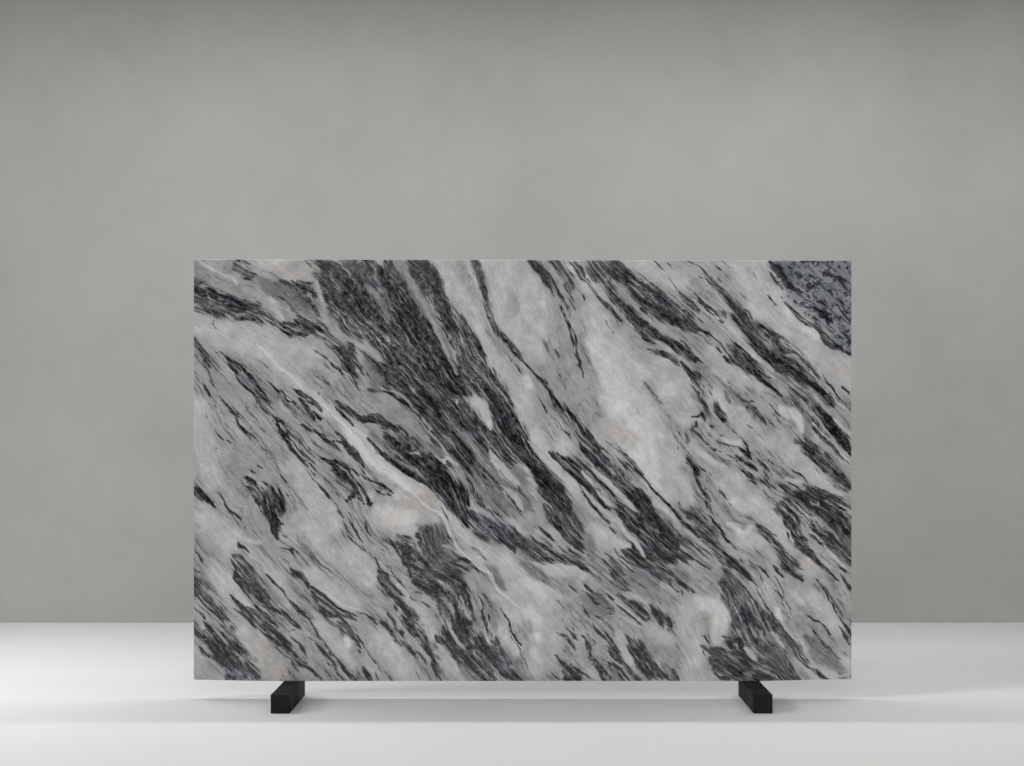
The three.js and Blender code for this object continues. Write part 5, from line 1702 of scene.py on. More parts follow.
BOTTOM_RIGHT = {
    "grey": [
        [(222, 143, 4), (230, 150, 3)],
        [(278, 150, 3), (281, 155)],
        [(279, 160, 1.5), (283, 166), (287, 172)],
        [(262, 140, 6), (270, 152, 8), (280, 164), (288, 176, 6)],
    ],
    "mid": [
        [(253, 158, 2.5), (257, 167, 3), (261, 174), (264.5, 180, 2.5), (268, 185)],
    ],
    "pale": [
        [(219, 155, 5), (220, 170), (221, 184)],
        [(251, 143, 1), (254, 148, 1.3), (256, 152), (258.5, 157, 1.2), (260, 161), (262.5, 164, 1),
         (266, 167, 1.5), (269, 170, 2)],
        [(256, 164, 0.8), (259, 170), (262, 176), (266, 181), (269, 186)],
        [(270, 176, 5), (280, 182), (287, 178, 3)],
        [(268, 168, 4), (275, 176)],
        [(265, 147, 2), (268, 151, 1.5)],
        [(245, 141, 1), (249, 147), (252, 152)],
        [(272, 148, 3), (278, 156, 4), (284, 163, 3)],
    ],
    "white": [
        [(222, 150, 2.5), (226, 152, 4), (230, 154), (232.5, 157, 3.5), (232, 161, 4), (231, 165, 3),
         (230.5, 168.5, 2)],
        [(257.5, 154, 1), (259.5, 159, 0.8)],
    ],
    "blush": [
        [(232, 158, 3), (231.5, 166, 2)],
    ],
    "streaky": [
        [(275, 168, 2), (281, 175, 2.5), (287, 182, 2)],
    ],
    "gloom": [
        [(233, 136, 3), (238, 145, 5), (242, 154, 6), (244, 163), (245, 172, 5)],
        [(228, 172, 4), (236, 177, 6), (246, 180, 7), (256, 182), (262, 186, 5)],
        [(252, 168, 3), (257, 175, 5), (262, 183)],
        [(230, 173, 4), (240, 177, 6), (250, 180, 6), (258, 183, 5)],
        [(236, 146, 3), (240, 153, 4.5), (244, 160, 4.5), (249, 167, 3.5)],
        [(233, 148, 1.5), (238, 156, 2.2), (243, 164, 1.5)],
    ],
    "dusk": [
        [(247.5, 151.5, 1.2), (250, 155, 1.8), (253, 157.5, 2), (256, 160.5, 2.3), (258.5, 163, 2.2),
         (262, 167), (265.5, 171), (268, 175, 1.8), (271, 179, 1.6), (273.5, 181.5)],
        [(231, 142, 1.5), (235, 144.5, 2.5), (238, 147.5, 3), (240, 151, 3.5)],
        [(223, 170, 0.8), (225, 171.5, 1.2), (227, 173, 1)],
        [(233.5, 165.5, 1.2), (237, 167.5, 2), (236, 170), (238.5, 170.5, 1.5)],
        [(228, 172.5, 2), (234, 174), (240, 174.5)],
        [(248, 168, 2), (254, 170)],
        [(228, 176, 2.5), (232, 179, 3.5), (237, 178), (238, 183)],
        [(250, 173, 2.5), (254, 177, 3), (257, 175), (259, 179), (262, 183), (265, 186, 2)],
        [(287.5, 182, 1.2), (284.5, 182.5)],
    ],
    "plum": [
        [(240, 150, 3), (243, 157, 4), (244, 163), (246, 167, 2.5)],
    ],
    "night": [
        [(215, 142, 1.1), (216.5, 144, 0.9), (218.5, 145.5), (221, 147, 0.6)],
        [(241, 153, 2), (242.5, 156, 2.6), (243.5, 160), (244.5, 164, 2)],
        [(247, 149, 0.7), (249.5, 153, 0.9), (250.5, 157.5), (252.5, 161.5, 0.7), (254, 164, 0.5)],
        [(246, 166, 0.6), (248, 169, 1), (250, 172, 1.2), (252, 175, 0.8)],
        [(240.5, 166, 1), (241.5, 171), (242, 176, 2), (244, 180), (240, 182)],
        [(232, 184, 1.8), (236, 184.5)],
        [(245, 184.5, 1.6), (250, 183, 2.4), (255, 184.5)],
        [(228.5, 180, 0.5), (230, 182, 0.6), (231.5, 184.5, 0.7)],
        [(259.5, 173.5, 0.4), (261, 176, 0.5), (263, 179.5, 0.6), (265, 183, 0.7), (267.5, 186, 0.6)],
        [(272.5, 180.5, 1), (274.5, 182, 1.2), (276.5, 183.5, 1), (280, 185, 0.5)],
        [(240, 136.5, 0.9), (243, 139.5, 1.2), (245, 142.5, 0.8)],
        [(256, 136.5, 0.6), (259, 138.5, 0.9), (260.5, 140.5, 0.6)],
        [(262, 136.5, 0.8), (264.5, 138, 1.2), (267.5, 140, 1), (269, 142, 0.4)],
        [(284.5, 137.5, 0.6), (286.5, 140.5, 0.8), (288.5, 143.5), (290, 145.5)],
        [(287.5, 161.5, 0.6), (290, 165.5, 0.9)],
        [(287.5, 184, 0.9), (289.5, 184.5)],
        [(285, 163, 0.6), (286.5, 165.5, 0.8), (289, 169, 0.9)],
    ],
    "slate": [
        [(252, 171, 2.5), (257, 174, 3), (261, 179, 2.5)],
    ],
    "mist": [
        [(242, 182, 1.3), (246, 184.5, 1.5)],
        [(249, 180, 1.6), (255, 180.5, 1)],
        [(270, 166, 4), (277, 173, 5), (285, 181, 5)],
        [(212, 137, 3), (218, 142, 3)],
    ],
    "flag": [
        [(242.5, 170.5, 1), (244.5, 172.5, 1.5), (246.5, 174.5), (248.5, 176.5, 1.1), (249, 178, 0.6)],
        [(242, 171, 1), (245, 174, 1.6), (248, 177, 0.8)],
    ],
    "hair": [
        [(245.5, 140, 0.7), (247, 143), (249, 146.5), (251.5, 150, 0.6), (254, 154.5), (257, 158, 0.4),
         (259.5, 161.5, 0.3)],
        [(223.5, 139.5, 0.3), (225.5, 141, 0.7), (228, 142), (230.5, 143.5)],
        [(215, 146, 0.7), (215.5, 148.5)],
        [(250, 160, 0.4), (251.5, 163, 0.6), (252.5, 166)],
        [(249, 139.5, 0.4), (251, 143.5), (253, 146.5, 0.5)],
        [(256, 139, 0.3), (258, 142, 0.5), (259.5, 145.5, 0.6), (260, 148.5, 0.5), (262, 152),
         (264, 156, 0.6), (265, 158.5, 0.4)],
        [(255, 145, 0.4), (258, 148.5, 0.5), (260, 152.5, 0.4), (262.5, 157), (263.5, 158.5)],
        [(260, 142, 0.4), (262, 144)],
        [(274, 140, 0.3), (276.5, 143.5), (279, 147.5, 0.35), (281.5, 152), (284, 156.5, 0.4),
         (286.5, 160.5, 0.5), (289, 164)],
        [(280, 137, 0.5), (282, 139.5), (284.5, 142, 0.6)],
        [(269.5, 156.5, 0.3), (271, 157, 0.35), (273.5, 159, 0.3), (276, 160, 0.4), (278.5, 162.5, 0.5),
         (281, 165.5)],
        [(286, 172.5, 0.5), (289, 175.5, 0.4)],
        [(273, 163.5, 0.3), (274.5, 165.5, 0.4), (277, 169), (279.5, 172, 0.5)],
        [(284, 161, 0.3), (286.5, 165.5, 0.4)],
        [(283, 181.5, 0.5), (285, 183)],
        [(223.5, 165, 0.4), (225.5, 167), (227.5, 170)],
        [(224, 172, 0.6), (225.5, 175)],
        [(236, 167, 0.5), (238, 168.5)],
    ],
    "faint": [
        [(266, 163, 0.4), (269, 166), (273, 170)],
        [(221.5, 156.5, 0.7), (222.5, 158.5)],
    ],
    "thread": [
        [(236, 150, 0.3), (239, 155), (242, 161), (244, 166)],
        [(258, 153, 0.3), (262, 160)],
        [(268, 174, 0.5), (271, 178), (274, 182), (276, 186)],
        [(245.5, 141, 0.4), (249, 146), (253, 152)],
        [(233, 172, 0.4), (236, 174)],
    ],
}
REGIONS = [
    TOP_LEFT, TOP_INNER_LEFT, TOP_INNER_RIGHT, TOP_RIGHT,
    UPPER_LEFT, UPPER_INNER_LEFT, UPPER_INNER_RIGHT, UPPER_RIGHT,
    LOWER_LEFT, LOWER_INNER_LEFT, LOWER_INNER_RIGHT, LOWER_RIGHT,
    BOTTOM_LEFT, BOTTOM_INNER_LEFT, BOTTOM_INNER_RIGHT, BOTTOM_RIGHT,
]
# The general run of the shear, from the upper left to the lower right.
SHEAR = [
    [(0, 15), (30, 22), (55, 35)],
    [(60, 0), (80, 25), (100, 45), (125, 85)],
    [(110, 0), (125, 35), (150, 75), (185, 125)],
    [(150, 0), (165, 30), (185, 75), (225, 125)],
    [(180, 0), (215, 25), (245, 45), (290, 90)],
    [(230, 0), (260, 25), (290, 50)],
    [(0, 40), (25, 70), (45, 100), (65, 140), (90, 186)],
    [(10, 40), (40, 70), (60, 100), (100, 160), (120, 186)],
    [(0, 120), (25, 150), (50, 186)],
    [(60, 60), (90, 90), (130, 130), (160, 150)],
    [(160, 130), (190, 150), (215, 186)],
    [(210, 80), (225, 110), (250, 150), (270, 186)],
    [(240, 60), (270, 100), (290, 130)],
]


# ---------------------------------------------------------------- places on the slab
def top_edge(x):
    """The height of the slab's top edge at x."""
    along = (x - SLAB_LOW[0]) / SLAB_LENGTH
    return SLAB_HIGH[2] - TOP_FALL * along


def bottom_edge(x):
    """The height of the slab's bottom edge at x."""
    left = np.clip(1 - (x - SLAB_LOW[0]) / LEFT_RUN, 0, 1) * LEFT_LIFT
    right = np.clip(1 - (SLAB_HIGH[0] - x) / RIGHT_RUN, 0, 1) * RIGHT_LIFT
    return SLAB_LOW[2] + left + right


def face_places(inset):
    """x and z of the grid's vertices, in rows from the top down, kept `inset` away from the outline."""
    across = np.linspace(0, 1, COLUMNS + 1)
    down = np.linspace(0, 1, ROWS + 1)[:, None]
    x = SLAB_LOW[0] + inset + across * (SLAB_LENGTH - 2 * inset)
    top = top_edge(x) - inset
    bottom = bottom_edge(x) + inset
    return np.broadcast_to(x, (ROWS + 1, COLUMNS + 1)).copy(), top + down * (bottom - top)


# ---------------------------------------------------------------- painting on the grid
# The layers of the canvas, as they are before any paint is laid.
BARE = {"dark": 0.24, "streak": 0.3, "light": 0.61, "deep": 0.3, "warm": 0.0, "plum": 0.0}
WANDER = (0.25, 7), (0.2, 2.2)  # how far the strokes wander, and in waves how long, in centimetres
FAR = 100.0  # centimetres to a line that isn't there
FADE = 0.6  # the share of a stroke's half width over which it fades, inside its edge and outside
LEAST_FADE = 0.3  # centimetres
SEARCHED_WIDTHS, SEARCHED_CELLS = 2.2, 4  # how far round a stroke the canvas is looked at
LINE_FALL = 2.0  # how fast a line's half width falls past its ends and beyond its reach
MARGIN = 1.0  # centimetres: a stroke that ends nearer than this to the slab's edge runs off it
LOWEST_TIP = 185.0  # centimetres down: below this it runs off the bottom
TIP_SHARE = 0.3  # a tapered stroke's width at its very tip
TIP_WIDTHS, TIP_LENGTH = 2.0, 0.6  # the length of a tip, in half widths, and in centimetres on top of that


class Canvas:
    """Layers of numbers on the face's grid, painted with strokes.

    A place on it is (centimetres from the slab's left end, centimetres down from its top left corner).
    """

    def __init__(self, seed):
        x, z = face_places(ARRIS)
        self.x = (x - SLAB_LOW[0]) * CENTIMETRES
        self.y = (SLAB_HIGH[2] - z) * CENTIMETRES
        self.random = np.random.default_rng(seed)
        self.layers = {name: np.full(self.x.shape, value) for name, value in BARE.items()}
        self.lines = {shade: self.empty_lines(count) for shade, count in LINE_CHANNELS.items()}
        self.tangents = np.zeros((2,) + self.x.shape)
        self.drawn_x = self.x + self.wandering()
        self.drawn_y = self.y + self.wandering()

    def wandering(self):
        """How far each place is drawn aside, so that no stroke is quite smooth."""
        return sum(distance * self.noise(size) for distance, size in WANDER)

    def empty_lines(self, count):
        """Channels of four numbers: signed distance, half width, strength and plain distance."""
        far = np.array([FAR, -FAR, 0.0, FAR])
        return [np.broadcast_to(far[:, None, None], (4,) + self.x.shape).copy() for _ in range(count)]

    def blurred(self, layer, size):
        """The layer, blurred by `size` centimetres and mirrored at its edges."""
        wide = mirrored(layer)
        turns = [np.fft.fftfreq(n) * size / CELL for n in wide.shape]
        keep = np.exp(-2 * math.pi**2 * (turns[0][:, None] ** 2 + turns[1] ** 2))
        return np.fft.ifft2(np.fft.fft2(wide) * keep).real[: layer.shape[0], : layer.shape[1]]

    def noise(self, size):
        """Smooth random numbers with a spread of 1 and lumps of about `size` centimetres."""
        rough = self.blurred(self.random.standard_normal(self.x.shape), size / 2)
        return (rough - rough.mean()) / rough.std()

    def nearest(self, path):
        """How each place near the path lies to it.

        Gives a mask of the near places and, for those, the distance, the signed distance, the path's half
        width there and how far the place is past either end.
        """
        reach = path[:, 2].max() * SEARCHED_WIDTHS + SEARCHED_CELLS * CELL
        near = (self.x > path[:, 0].min() - reach) & (self.x < path[:, 0].max() + reach)
        near &= (self.y > path[:, 1].min() - reach) & (self.y < path[:, 1].max() + reach)
        x, y = self.drawn_x[near], self.drawn_y[near]
        best = np.full(x.shape, np.inf)
        offset, width, past = np.zeros((3,) + x.shape)
        last = len(path) - 2
        for i in range(last + 1):
            a, b = path[i], path[i + 1]
            run = b[:2] - a[:2]
            length = max(math.hypot(*run), 1e-6)
            free = ((x - a[0]) * run[0] + (y - a[1]) * run[1]) / length**2
            share = np.clip(free, 0, 1)
            distance = np.hypot(x - a[0] - share * run[0], y - a[1] - share * run[1])
            closer = distance < best
            best[closer] = distance[closer]
            offset[closer] = (run[0] * (y - a[1]) - run[1] * (x - a[0]))[closer] / length
            width[closer] = (a[2] + share * (b[2] - a[2]))[closer]
            past[closer] = np.abs(free - share)[closer] * length if i in (0, last) else 0
        return near, best, offset, width, past

    def flow(self, path):
        """Says that the stone was sheared along the path."""
        for a, b in zip(path[:-1], path[1:]):
            column = int(np.clip(a[0] / CELL, 0, COLUMNS))
            row = int(np.clip(a[1] / CELL, 0, ROWS))
            self.tangents[:, row, column] += b[:2] - a[:2]

    def field(self, paint, points):
        """Paints the paint's layers along the points."""
        path = smooth_path(points)
        if paint in TAPERED:
            taper(path)
        near, distance, _, width, _ = self.nearest(path)
        fade = np.maximum(2 * FADE * width, LEAST_FADE)
        cover = np.clip((width * (1 + FADE) - distance) / fade, 0, 1)
        cover = cover * cover * (3 - 2 * cover)
        for name, value in FIELDS[paint].items():
            layer = self.layers[name]
            layer[near] += (value - layer[near]) * cover
        self.flow(path)

    def line(self, paint, points):
        """Keeps a thin line, in the channel where it stays furthest from the lines already there."""
        shade, strength = LINES[paint]
        path = smooth_path(points)
        taper(path)
        near, distance, offset, width, past = self.nearest(path)
        close = distance < 2 * CELL
        channel = max(self.lines[shade], key=lambda c: c[3][near][close].min() if close.any() else 0)
        width = width - LINE_FALL * past - LINE_FALL * np.maximum(distance - LINE_REACH, 0)
        closer = distance < channel[3][near]
        for numbers, own in zip(channel, (offset, width, strength, distance)):
            numbers[near] = np.where(closer, own, numbers[near])
        self.flow(path)


def mirrored(layer):
    """The layer with its mirror images beside and below it, so that its edges meet when it repeats."""
    return np.block([[layer, layer[:, ::-1]], [layer[::-1], layer[::-1, ::-1]]])


def curve(p, q, r, s, t):
    """The place at t, from 0 to 1, on the smooth curve from q to r that heads away from p and towards s."""
    bend = 2 * q + (r - p) * t
    bend = bend + (2 * p - 5 * q + 4 * r - s) * t**2
    return (bend + (3 * (q - r) + s - p) * t**3) / 2


def smooth_path(points, step=2.0):
    """A smooth line through the points, as rows of x, y and half width about `step` centimetres apart."""
    widths = []
    for point in points:
        widths.append(point[2] if len(point) > 2 else (widths[-1] if widths else 0))
    knots = np.array([(p[0], p[1], w) for p, w in zip(points, widths)], float)
    knots = np.vstack([2 * knots[0] - knots[1], knots, 2 * knots[-1] - knots[-2]])
    path = []
    for p, q, r, s in zip(knots, knots[1:], knots[2:], knots[3:]):
        count = max(2, int(np.hypot(*(r - q)[:2]) / step) + 1)
        for t in np.linspace(0, 1, count, endpoint=False):
            row = curve(p, q, r, s, t)
            row[2] = q[2] + (r[2] - q[2]) * t
            path.append(row)
    path.append(knots[-2])
    return np.array(path)


def taper(path):
    """Thins both ends of the path, unless they run off the slab."""
    steps = np.hypot(*np.diff(path[:, :2], axis=0).T)
    along = np.concatenate([[0], np.cumsum(steps)])
    ends = {0: along, -1: along[-1] - along}
    for end, distance in ends.items():
        x, y = path[end, :2]
        inside = MARGIN < x < CENTIMETRES * SLAB_LENGTH - MARGIN and MARGIN < y < LOWEST_TIP
        if inside:
            tip = TIP_WIDTHS * path[:, 2] + TIP_LENGTH
            path[:, 2] *= np.clip(TIP_SHARE + (1 - TIP_SHARE) * distance / tip, 0, 1)


def potential(step_right, step_down):
    """The surface whose steps to the right and down come nearest to those given."""
    rows, columns = step_right.shape[0], step_down.shape[1]
    outward = np.zeros((rows, columns))
    outward[:, :-1] += step_right
    outward[:, 1:] -= step_right
    outward[:-1] += step_down
    outward[1:] -= step_down
    wide = mirrored(outward)
    bend = [2 * np.cos(2 * math.pi * np.fft.fftfreq(n)) - 2 for n in wide.shape]
    stiffness = bend[0][:, None] + bend[1]
    stiffness[0, 0] = 1
    return np.fft.ifft2(np.fft.fft2(wide) / stiffness).real[:rows, :columns]


NEAR_SHEAR, WIDE_SHEAR = 4, 22  # centimetres over which the strokes' directions are averaged
WIDE_SHARE = 0.03  # how much the wider average counts, which is only there for places without strokes
SHEAR_ROUNDS = 8
LEAST_SLOPE, MOST_SLOPE = 0.35, 2.5  # how far the coordinates may be squeezed or drawn out to fit together


def shear_directions(canvas):
    """x and y of the direction in which the stone was sheared at each place, with a length of 1."""
    layers = []
    for tangent in canvas.tangents:
        wide = canvas.blurred(tangent, WIDE_SHEAR)
        layers.append(canvas.blurred(tangent, NEAR_SHEAR) + WIDE_SHARE * wide)
    main = np.stack(layers)
    return main / np.maximum(np.hypot(*main), 1e-12)


def across_and_along(canvas):
    """Coordinates in centimetres that follow the shear: one across its streaks and one along them."""
    tx, ty = shear_directions(canvas)
    result = []
    for gx, gy in ((-ty, tx), (tx, ty)):
        size = np.ones_like(gx)
        for _ in range(SHEAR_ROUNDS):
            right = (gx * size)[:, :-1] + (gx * size)[:, 1:]
            down = (gy * size)[:-1] + (gy * size)[1:]
            place = potential(right * CELL / 2, down * CELL / 2)
            slope_y, slope_x = np.gradient(place, CELL)
            size = np.clip(slope_x * gx + slope_y * gy, LEAST_SLOPE, MOST_SLOPE)
        result.append(place)
    return result


def strokes(paint):
    """Every stroke of one paint, region by region."""
    return [points for region in REGIONS for points in region.get(paint, [])]


def paint_marble():
    """The canvas with every stroke on it: first the broad ones, one paint over another, then the lines."""
    canvas = Canvas(seed=7)
    for points in SHEAR:
        canvas.flow(smooth_path(points))
    for paint in FIELDS:
        for points in strokes(paint):
            canvas.field(paint, points)
    for paint in LINES:
        for points in strokes(paint):
            canvas.line(paint, points)
    return canvas


# ---------------------------------------------------------------- materials
class Nodes:
    """A short way to write a material's nodes. Every call gives back an output socket."""

    def __init__(self, name):
        self.material = bpy.data.materials.new(name)
        self.material.use_nodes = True
        self.tree = self.material.node_tree
        self.surface = self.tree.nodes["Principled BSDF"]

    def put(self, kind, inputs, output=0, **settings):
        """A new node of this kind, with its inputs given and its settings made."""
        node = self.tree.nodes.new("ShaderNode" + kind)
        for name, value in settings.items():
            setattr(node, name, value)
        for key, value in inputs.items():
            self.give(node.inputs[key], value)
        return node.outputs[output]

    def give(self, socket, value):
        """Links an output to the input socket, or sets the input to a number."""
        if isinstance(value, bpy.types.NodeSocket):
            self.tree.links.new(value, socket)
        else:
            socket.default_value = value

    def math(self, operation, *values):
        return self.put("Math", dict(enumerate(values)), operation=operation)

    def scaled(self, value, factor, offset=0.0):
        """factor * value + offset"""
        return self.math("MULTIPLY_ADD", value, factor, offset)

    def add(self, first, second, factor=1.0):
        """first + factor * second"""
        return self.math("MULTIPLY_ADD", second, factor, first)

    def mix(self, share, low, high):
        """low where the share is 0 and high where it is 1"""
        return self.put("Mix", {0: share, 2: low, 3: high}, data_type="FLOAT")

    def ramp(self, value, low, high, to_low=0.0, to_high=1.0):
        """A smooth step from to_low, where the value is low, to to_high, where it is high."""
        inputs = {0: value, 1: low, 2: high, 3: to_low, 4: to_high}
        return self.put("MapRange", inputs, interpolation_type="SMOOTHSTEP")

    def painted(self, name):
        """The three numbers of a painted attribute."""
        vector = self.put("Attribute", {}, output="Vector", attribute_name=name)
        node = self.tree.nodes.new("ShaderNodeSeparateXYZ")
        self.tree.links.new(vector, node.inputs[0])
        return node.outputs

    def place(self, x, y, z):
        return self.put("CombineXYZ", {0: x, 1: y, 2: z})

    def noise(self, place, scale=1.0, detail=2, rough=0.5):
        """Noise with a mean of 0 and a spread of 1."""
        inputs = {"Vector": place, "Scale": scale, "Detail": detail, "Roughness": rough}
        octaves = [rough**i for i in range(detail + 1)]
        spread = 0.25 * math.hypot(*octaves) / sum(octaves)
        return self.scaled(self.put("TexNoise", inputs), 2 / spread, -1 / spread)

    def threads(self, noise, width):
        """Thin lines where the noise changes its sign: 1 along the middle and 0 beyond `width`."""
        return self.ramp(self.math("ABSOLUTE", noise), 0.0, width, 1.0, 0.0)

    def colour(self, tone, shares):
        """The tone in red, green and blue, each times its share."""
        channels = [self.scaled(tone, share) for share in shares]
        return self.put("CombineColor", dict(enumerate(channels)))

    def set(self, name, value):
        """Sets an input of the material's surface."""
        self.give(self.surface.inputs[name], value)


# Noises that are drawn out along the shear: cycles per centimetre across it and along it, which slice of
# the noise, its detail and its roughness.
DRAWN_OUT = {
    "broad_streaks": (0.22, 0.028, 0.0, 2, 0.8),
    "fine_streaks": (0.75, 0.05, 3.0, 3, 0.75),
    "texture": (0.4, 0.06, 5.0, 4, 0.8),
    "mottle": (0.7, 0.2, 7.0, 3, 0.8),
    "grit": (0.9, 0.3, 11.0, 2, 0.8),
    "pale_threads": (0.3, 0.02, 9.0, 2, 0.6),
    "pale_thread_places": (0.2, 0.04, 4.0, 2, 0.5),
    "wisps": (0.5, 0.022, 2.0, 2, 0.6),
    "wisp_places": (0.5, 0.06, 6.0, 2, 0.5),
}
# Noises that are alike in all directions: cycles per metre, detail and roughness.
EVEN = {
    "sway": (9, 3, 0.5),
    "ripple": (60, 3, 0.5),
    "cloud": (14, 4, 0.5),
    "saw_grain": (130, 3, 0.7),
    "tint": (22, 3, 0.5),
    "flecks": (26, 3, 0.65),
    "crooked_threads": (14, 2, 0.6),
    "line_wobble": (70, 3, 0.5),
    "line_swell": (30, 2, 0.5),
    "paint_blotches": (12, 3, 0.5),
    "floor_clouds": (2.5, 4, 0.5),
    "wall_clouds": (1.1, 4, 0.5),
    "wall_stains": (7, 4, 0.5),
}
USUAL = -2.0, 2.0  # nearly all the values of a noise lie between these
# How much each of them adds to the tone: of the pale stone, and of the dark. "depth" is 1 where the dark
# stone is purest.
PALE_TONE = {"cloud": 0.018, "texture": 0.014, "threads": -0.13, "mottle": 0.009}
DARK_TONE = {"depth": -0.11, "texture": 0.035, "mottle": 0.02, "wisps": 0.36}
GRIT = 0.010, 0.055  # how much the finest grain adds to the tone, in the pale stone and in the dark

SWAY, RIPPLE = 0.25, 0.07  # centimetres to the side
BROAD_PART, FINE_PART = 0.6, 0.85  # of the streaks
STREAK_SPREAD = 0.3  # how far the streaks move the share of dark mineral, where "streak" is 1
EDGE_FRAYING = 0.13  # how much further they move it where a dark form meets the pale stone
PHASE = 0.15, 0.80  # the shares of dark mineral where the stone stops being pale, and where it is all dark
PURE = 0.6, 1.2  # the shares over which the dark stone gets its depth
PALE_THREAD_WIDTH, WISP_WIDTH, CROOKED_THREAD_WIDTH = 0.4, 0.36, 0.2  # as parts of their noise's spread
PALE_THREAD_PLACES, WISP_PLACES = (-0.2, 1.4), (-0.4, 1.4)  # from none to all of them, likewise
THREADED_FROM, THREADED_TO = (0.05, 0.6), (0.15, 1.0)  # how "streak" brings out the pale stone's threads
FLECK_PLACES = 0.2, 1.5
BLUE_FROM, BLUE_TO = -0.2, -0.7  # "warm", where the flecks of the blue stone begin and where they are full
BLUE_FLECKS = 0.75  # the share of dark mineral that they add

LINE_SHARE, LINE_FRAYING = 0.62, 0.15  # the share that a thin dark line adds, and its part in the streaks
LINE_WOBBLE, LINE_SWELL = 0.06, 0.05  # centimetres that a line's place and its half width vary by
LINE_RAGGED = {"dark": 0.12, "white": 0.05}  # centimetres that the streaks add to its half width
LINE_EDGE = -0.32, 0.08  # centimetres beyond the half width, from where a line is full to where it is gone
WHITE_LINE_TONE = 0.81

ALBEDO_OF_FULL_TONE = 1.25
GAMMA = 2.2
COLD = -0.014, 0.0125  # the blue in the darks: so much for each unit of tone, and so much at black
TINT_NOISE = 0.28  # how much the stone's own variation adds to "warm"
# What red, green and blue gain for each unit of the tone itself, of that cold, of "warm" and of "plum".
TINTS = {
    "tone": (0.006, 0.0, 0.0),
    "cold": (0.0, -0.15, 1.0),
    "warm": (0.008, 0.0, -0.015),
    "plum": (0.005, -0.004, 0.008),
}

MARBLE_SPECULAR = 0.4
POLISHED_ROUGHNESS, SAWN_ROUGHNESS = (0.1, 0.16), (0.6, 0.75)
SAWN_CONTRAST, SAWN_LIFT = 0.8, 0.14  # a sawn face's tone: so much of the polished one, and so much more
SAW_MARKS = 1.5, 1.5, 420  # cycles per metre: the gang saw runs along the slab
SAW_GRAIN = 0.6  # the height of the grain, where that of the marks is 1
SAW_BUMP, TIMBER_BUMP = 0.4, 0.35
BUMP_HEIGHT = 0.0001


def drawn_noise(n, shear, name):
    """One of the noises that are drawn out along the shear."""
    across, along = shear
    per_across, per_along, depth, detail, rough = DRAWN_OUT[name]
    place = n.place(n.scaled(across, per_across), n.scaled(along, per_along), depth)
    return n.noise(place, 1.0, detail, rough)


def even_noise(n, where, name):
    """One of the noises that are alike in all directions."""
    return n.noise(where, *EVEN[name])


def with_parts(n, tone, amounts, parts):
    """The tone, with so much of each part added."""
    for name, amount in amounts.items():
        tone = n.add(tone, parts[name], amount)
    return tone


def marble_material(name, polished):
    """Painted veining with fine streaks along the shear, as polished or as it was left by the saw."""
    n = Nodes(name)
    across, along, _ = n.painted("shear")
    dark, streak, light = n.painted("stone")
    deep, warm, plum = n.painted("tints")
    where = n.put("TexCoord", {}, output="Object")
    across = n.add(across, even_noise(n, where, "sway"), SWAY)
    across = n.add(across, even_noise(n, where, "ripple"), RIPPLE)
    shear = across, along
    broad = n.scaled(drawn_noise(n, shear, "broad_streaks"), BROAD_PART)
    streaks = n.add(broad, drawn_noise(n, shear, "fine_streaks"), FINE_PART)
    cloud = even_noise(n, where, "cloud")
    texture = drawn_noise(n, shear, "texture")
    mottle = drawn_noise(n, shear, "mottle")

    lined = dark_lines(n, where, streaks) if polished else 0.0
    share = n.add(dark_share(n, dark, streak, streaks, lined), blue_flecks(n, where, warm), BLUE_FLECKS)
    phase = n.ramp(share, *PHASE)
    pale = pale_stone(n, shear, light, streak, {"cloud": cloud, "texture": texture, "mottle": mottle})
    night = dark_stone(n, shear, deep, share, {"texture": texture, "mottle": mottle})
    tone = n.mix(phase, pale, night)
    if polished:
        tone = with_white_lines(n, tone, where, streaks)
    tone = n.math("MULTIPLY_ADD", drawn_noise(n, shear, "grit"), n.mix(phase, *GRIT), tone)
    if not polished:
        tone = n.scaled(tone, SAWN_CONTRAST, SAWN_LIFT)
        n.set("Normal", saw_marks(n, where))
    warm = n.add(warm, even_noise(n, where, "tint"), TINT_NOISE)
    n.set("Base Color", tinted(n, tone, warm, plum))
    n.set("Roughness", n.ramp(cloud, *USUAL, *(POLISHED_ROUGHNESS if polished else SAWN_ROUGHNESS)))
    n.set("Specular IOR Level", MARBLE_SPECULAR)
    return n.material


def dark_share(n, dark, streak, streaks, lined):
    """The share of dark mineral: as painted, frayed by the streaks, and more of it under the thin lines."""
    edge = n.math("MULTIPLY", n.scaled(dark, -4.0, 4.0), dark)  # 1 where there is as much dark as pale
    edge = n.math("POWER", edge, 2.0)
    spread = n.add(n.scaled(streak, STREAK_SPREAD), lined, LINE_FRAYING)
    spread = n.add(spread, edge, EDGE_FRAYING)
    return n.math("MULTIPLY_ADD", streaks, spread, n.add(dark, lined, LINE_SHARE))


def blue_flecks(n, where, warm):
    """Dark flecks and crooked threads, where the stone is tinted blue."""
    flecks = n.ramp(even_noise(n, where, "flecks"), *FLECK_PLACES)
    threads = n.threads(even_noise(n, where, "crooked_threads"), CROOKED_THREAD_WIDTH)
    return n.math("MULTIPLY", n.math("ADD", flecks, threads), n.ramp(warm, BLUE_FROM, BLUE_TO))


def pale_stone(n, shear, light, streak, parts):
    """The tone of the pale stone: clouded, and crossed by thin darker threads where it is streaked."""
    threads = n.threads(drawn_noise(n, shear, "pale_threads"), PALE_THREAD_WIDTH)
    few = n.ramp(drawn_noise(n, shear, "pale_thread_places"), *PALE_THREAD_PLACES)
    streaked = n.ramp(streak, *THREADED_FROM, *THREADED_TO)
    threads = n.math("MULTIPLY", n.math("MULTIPLY", threads, few), streaked)
    return with_parts(n, light, PALE_TONE, {**parts, "threads": threads})


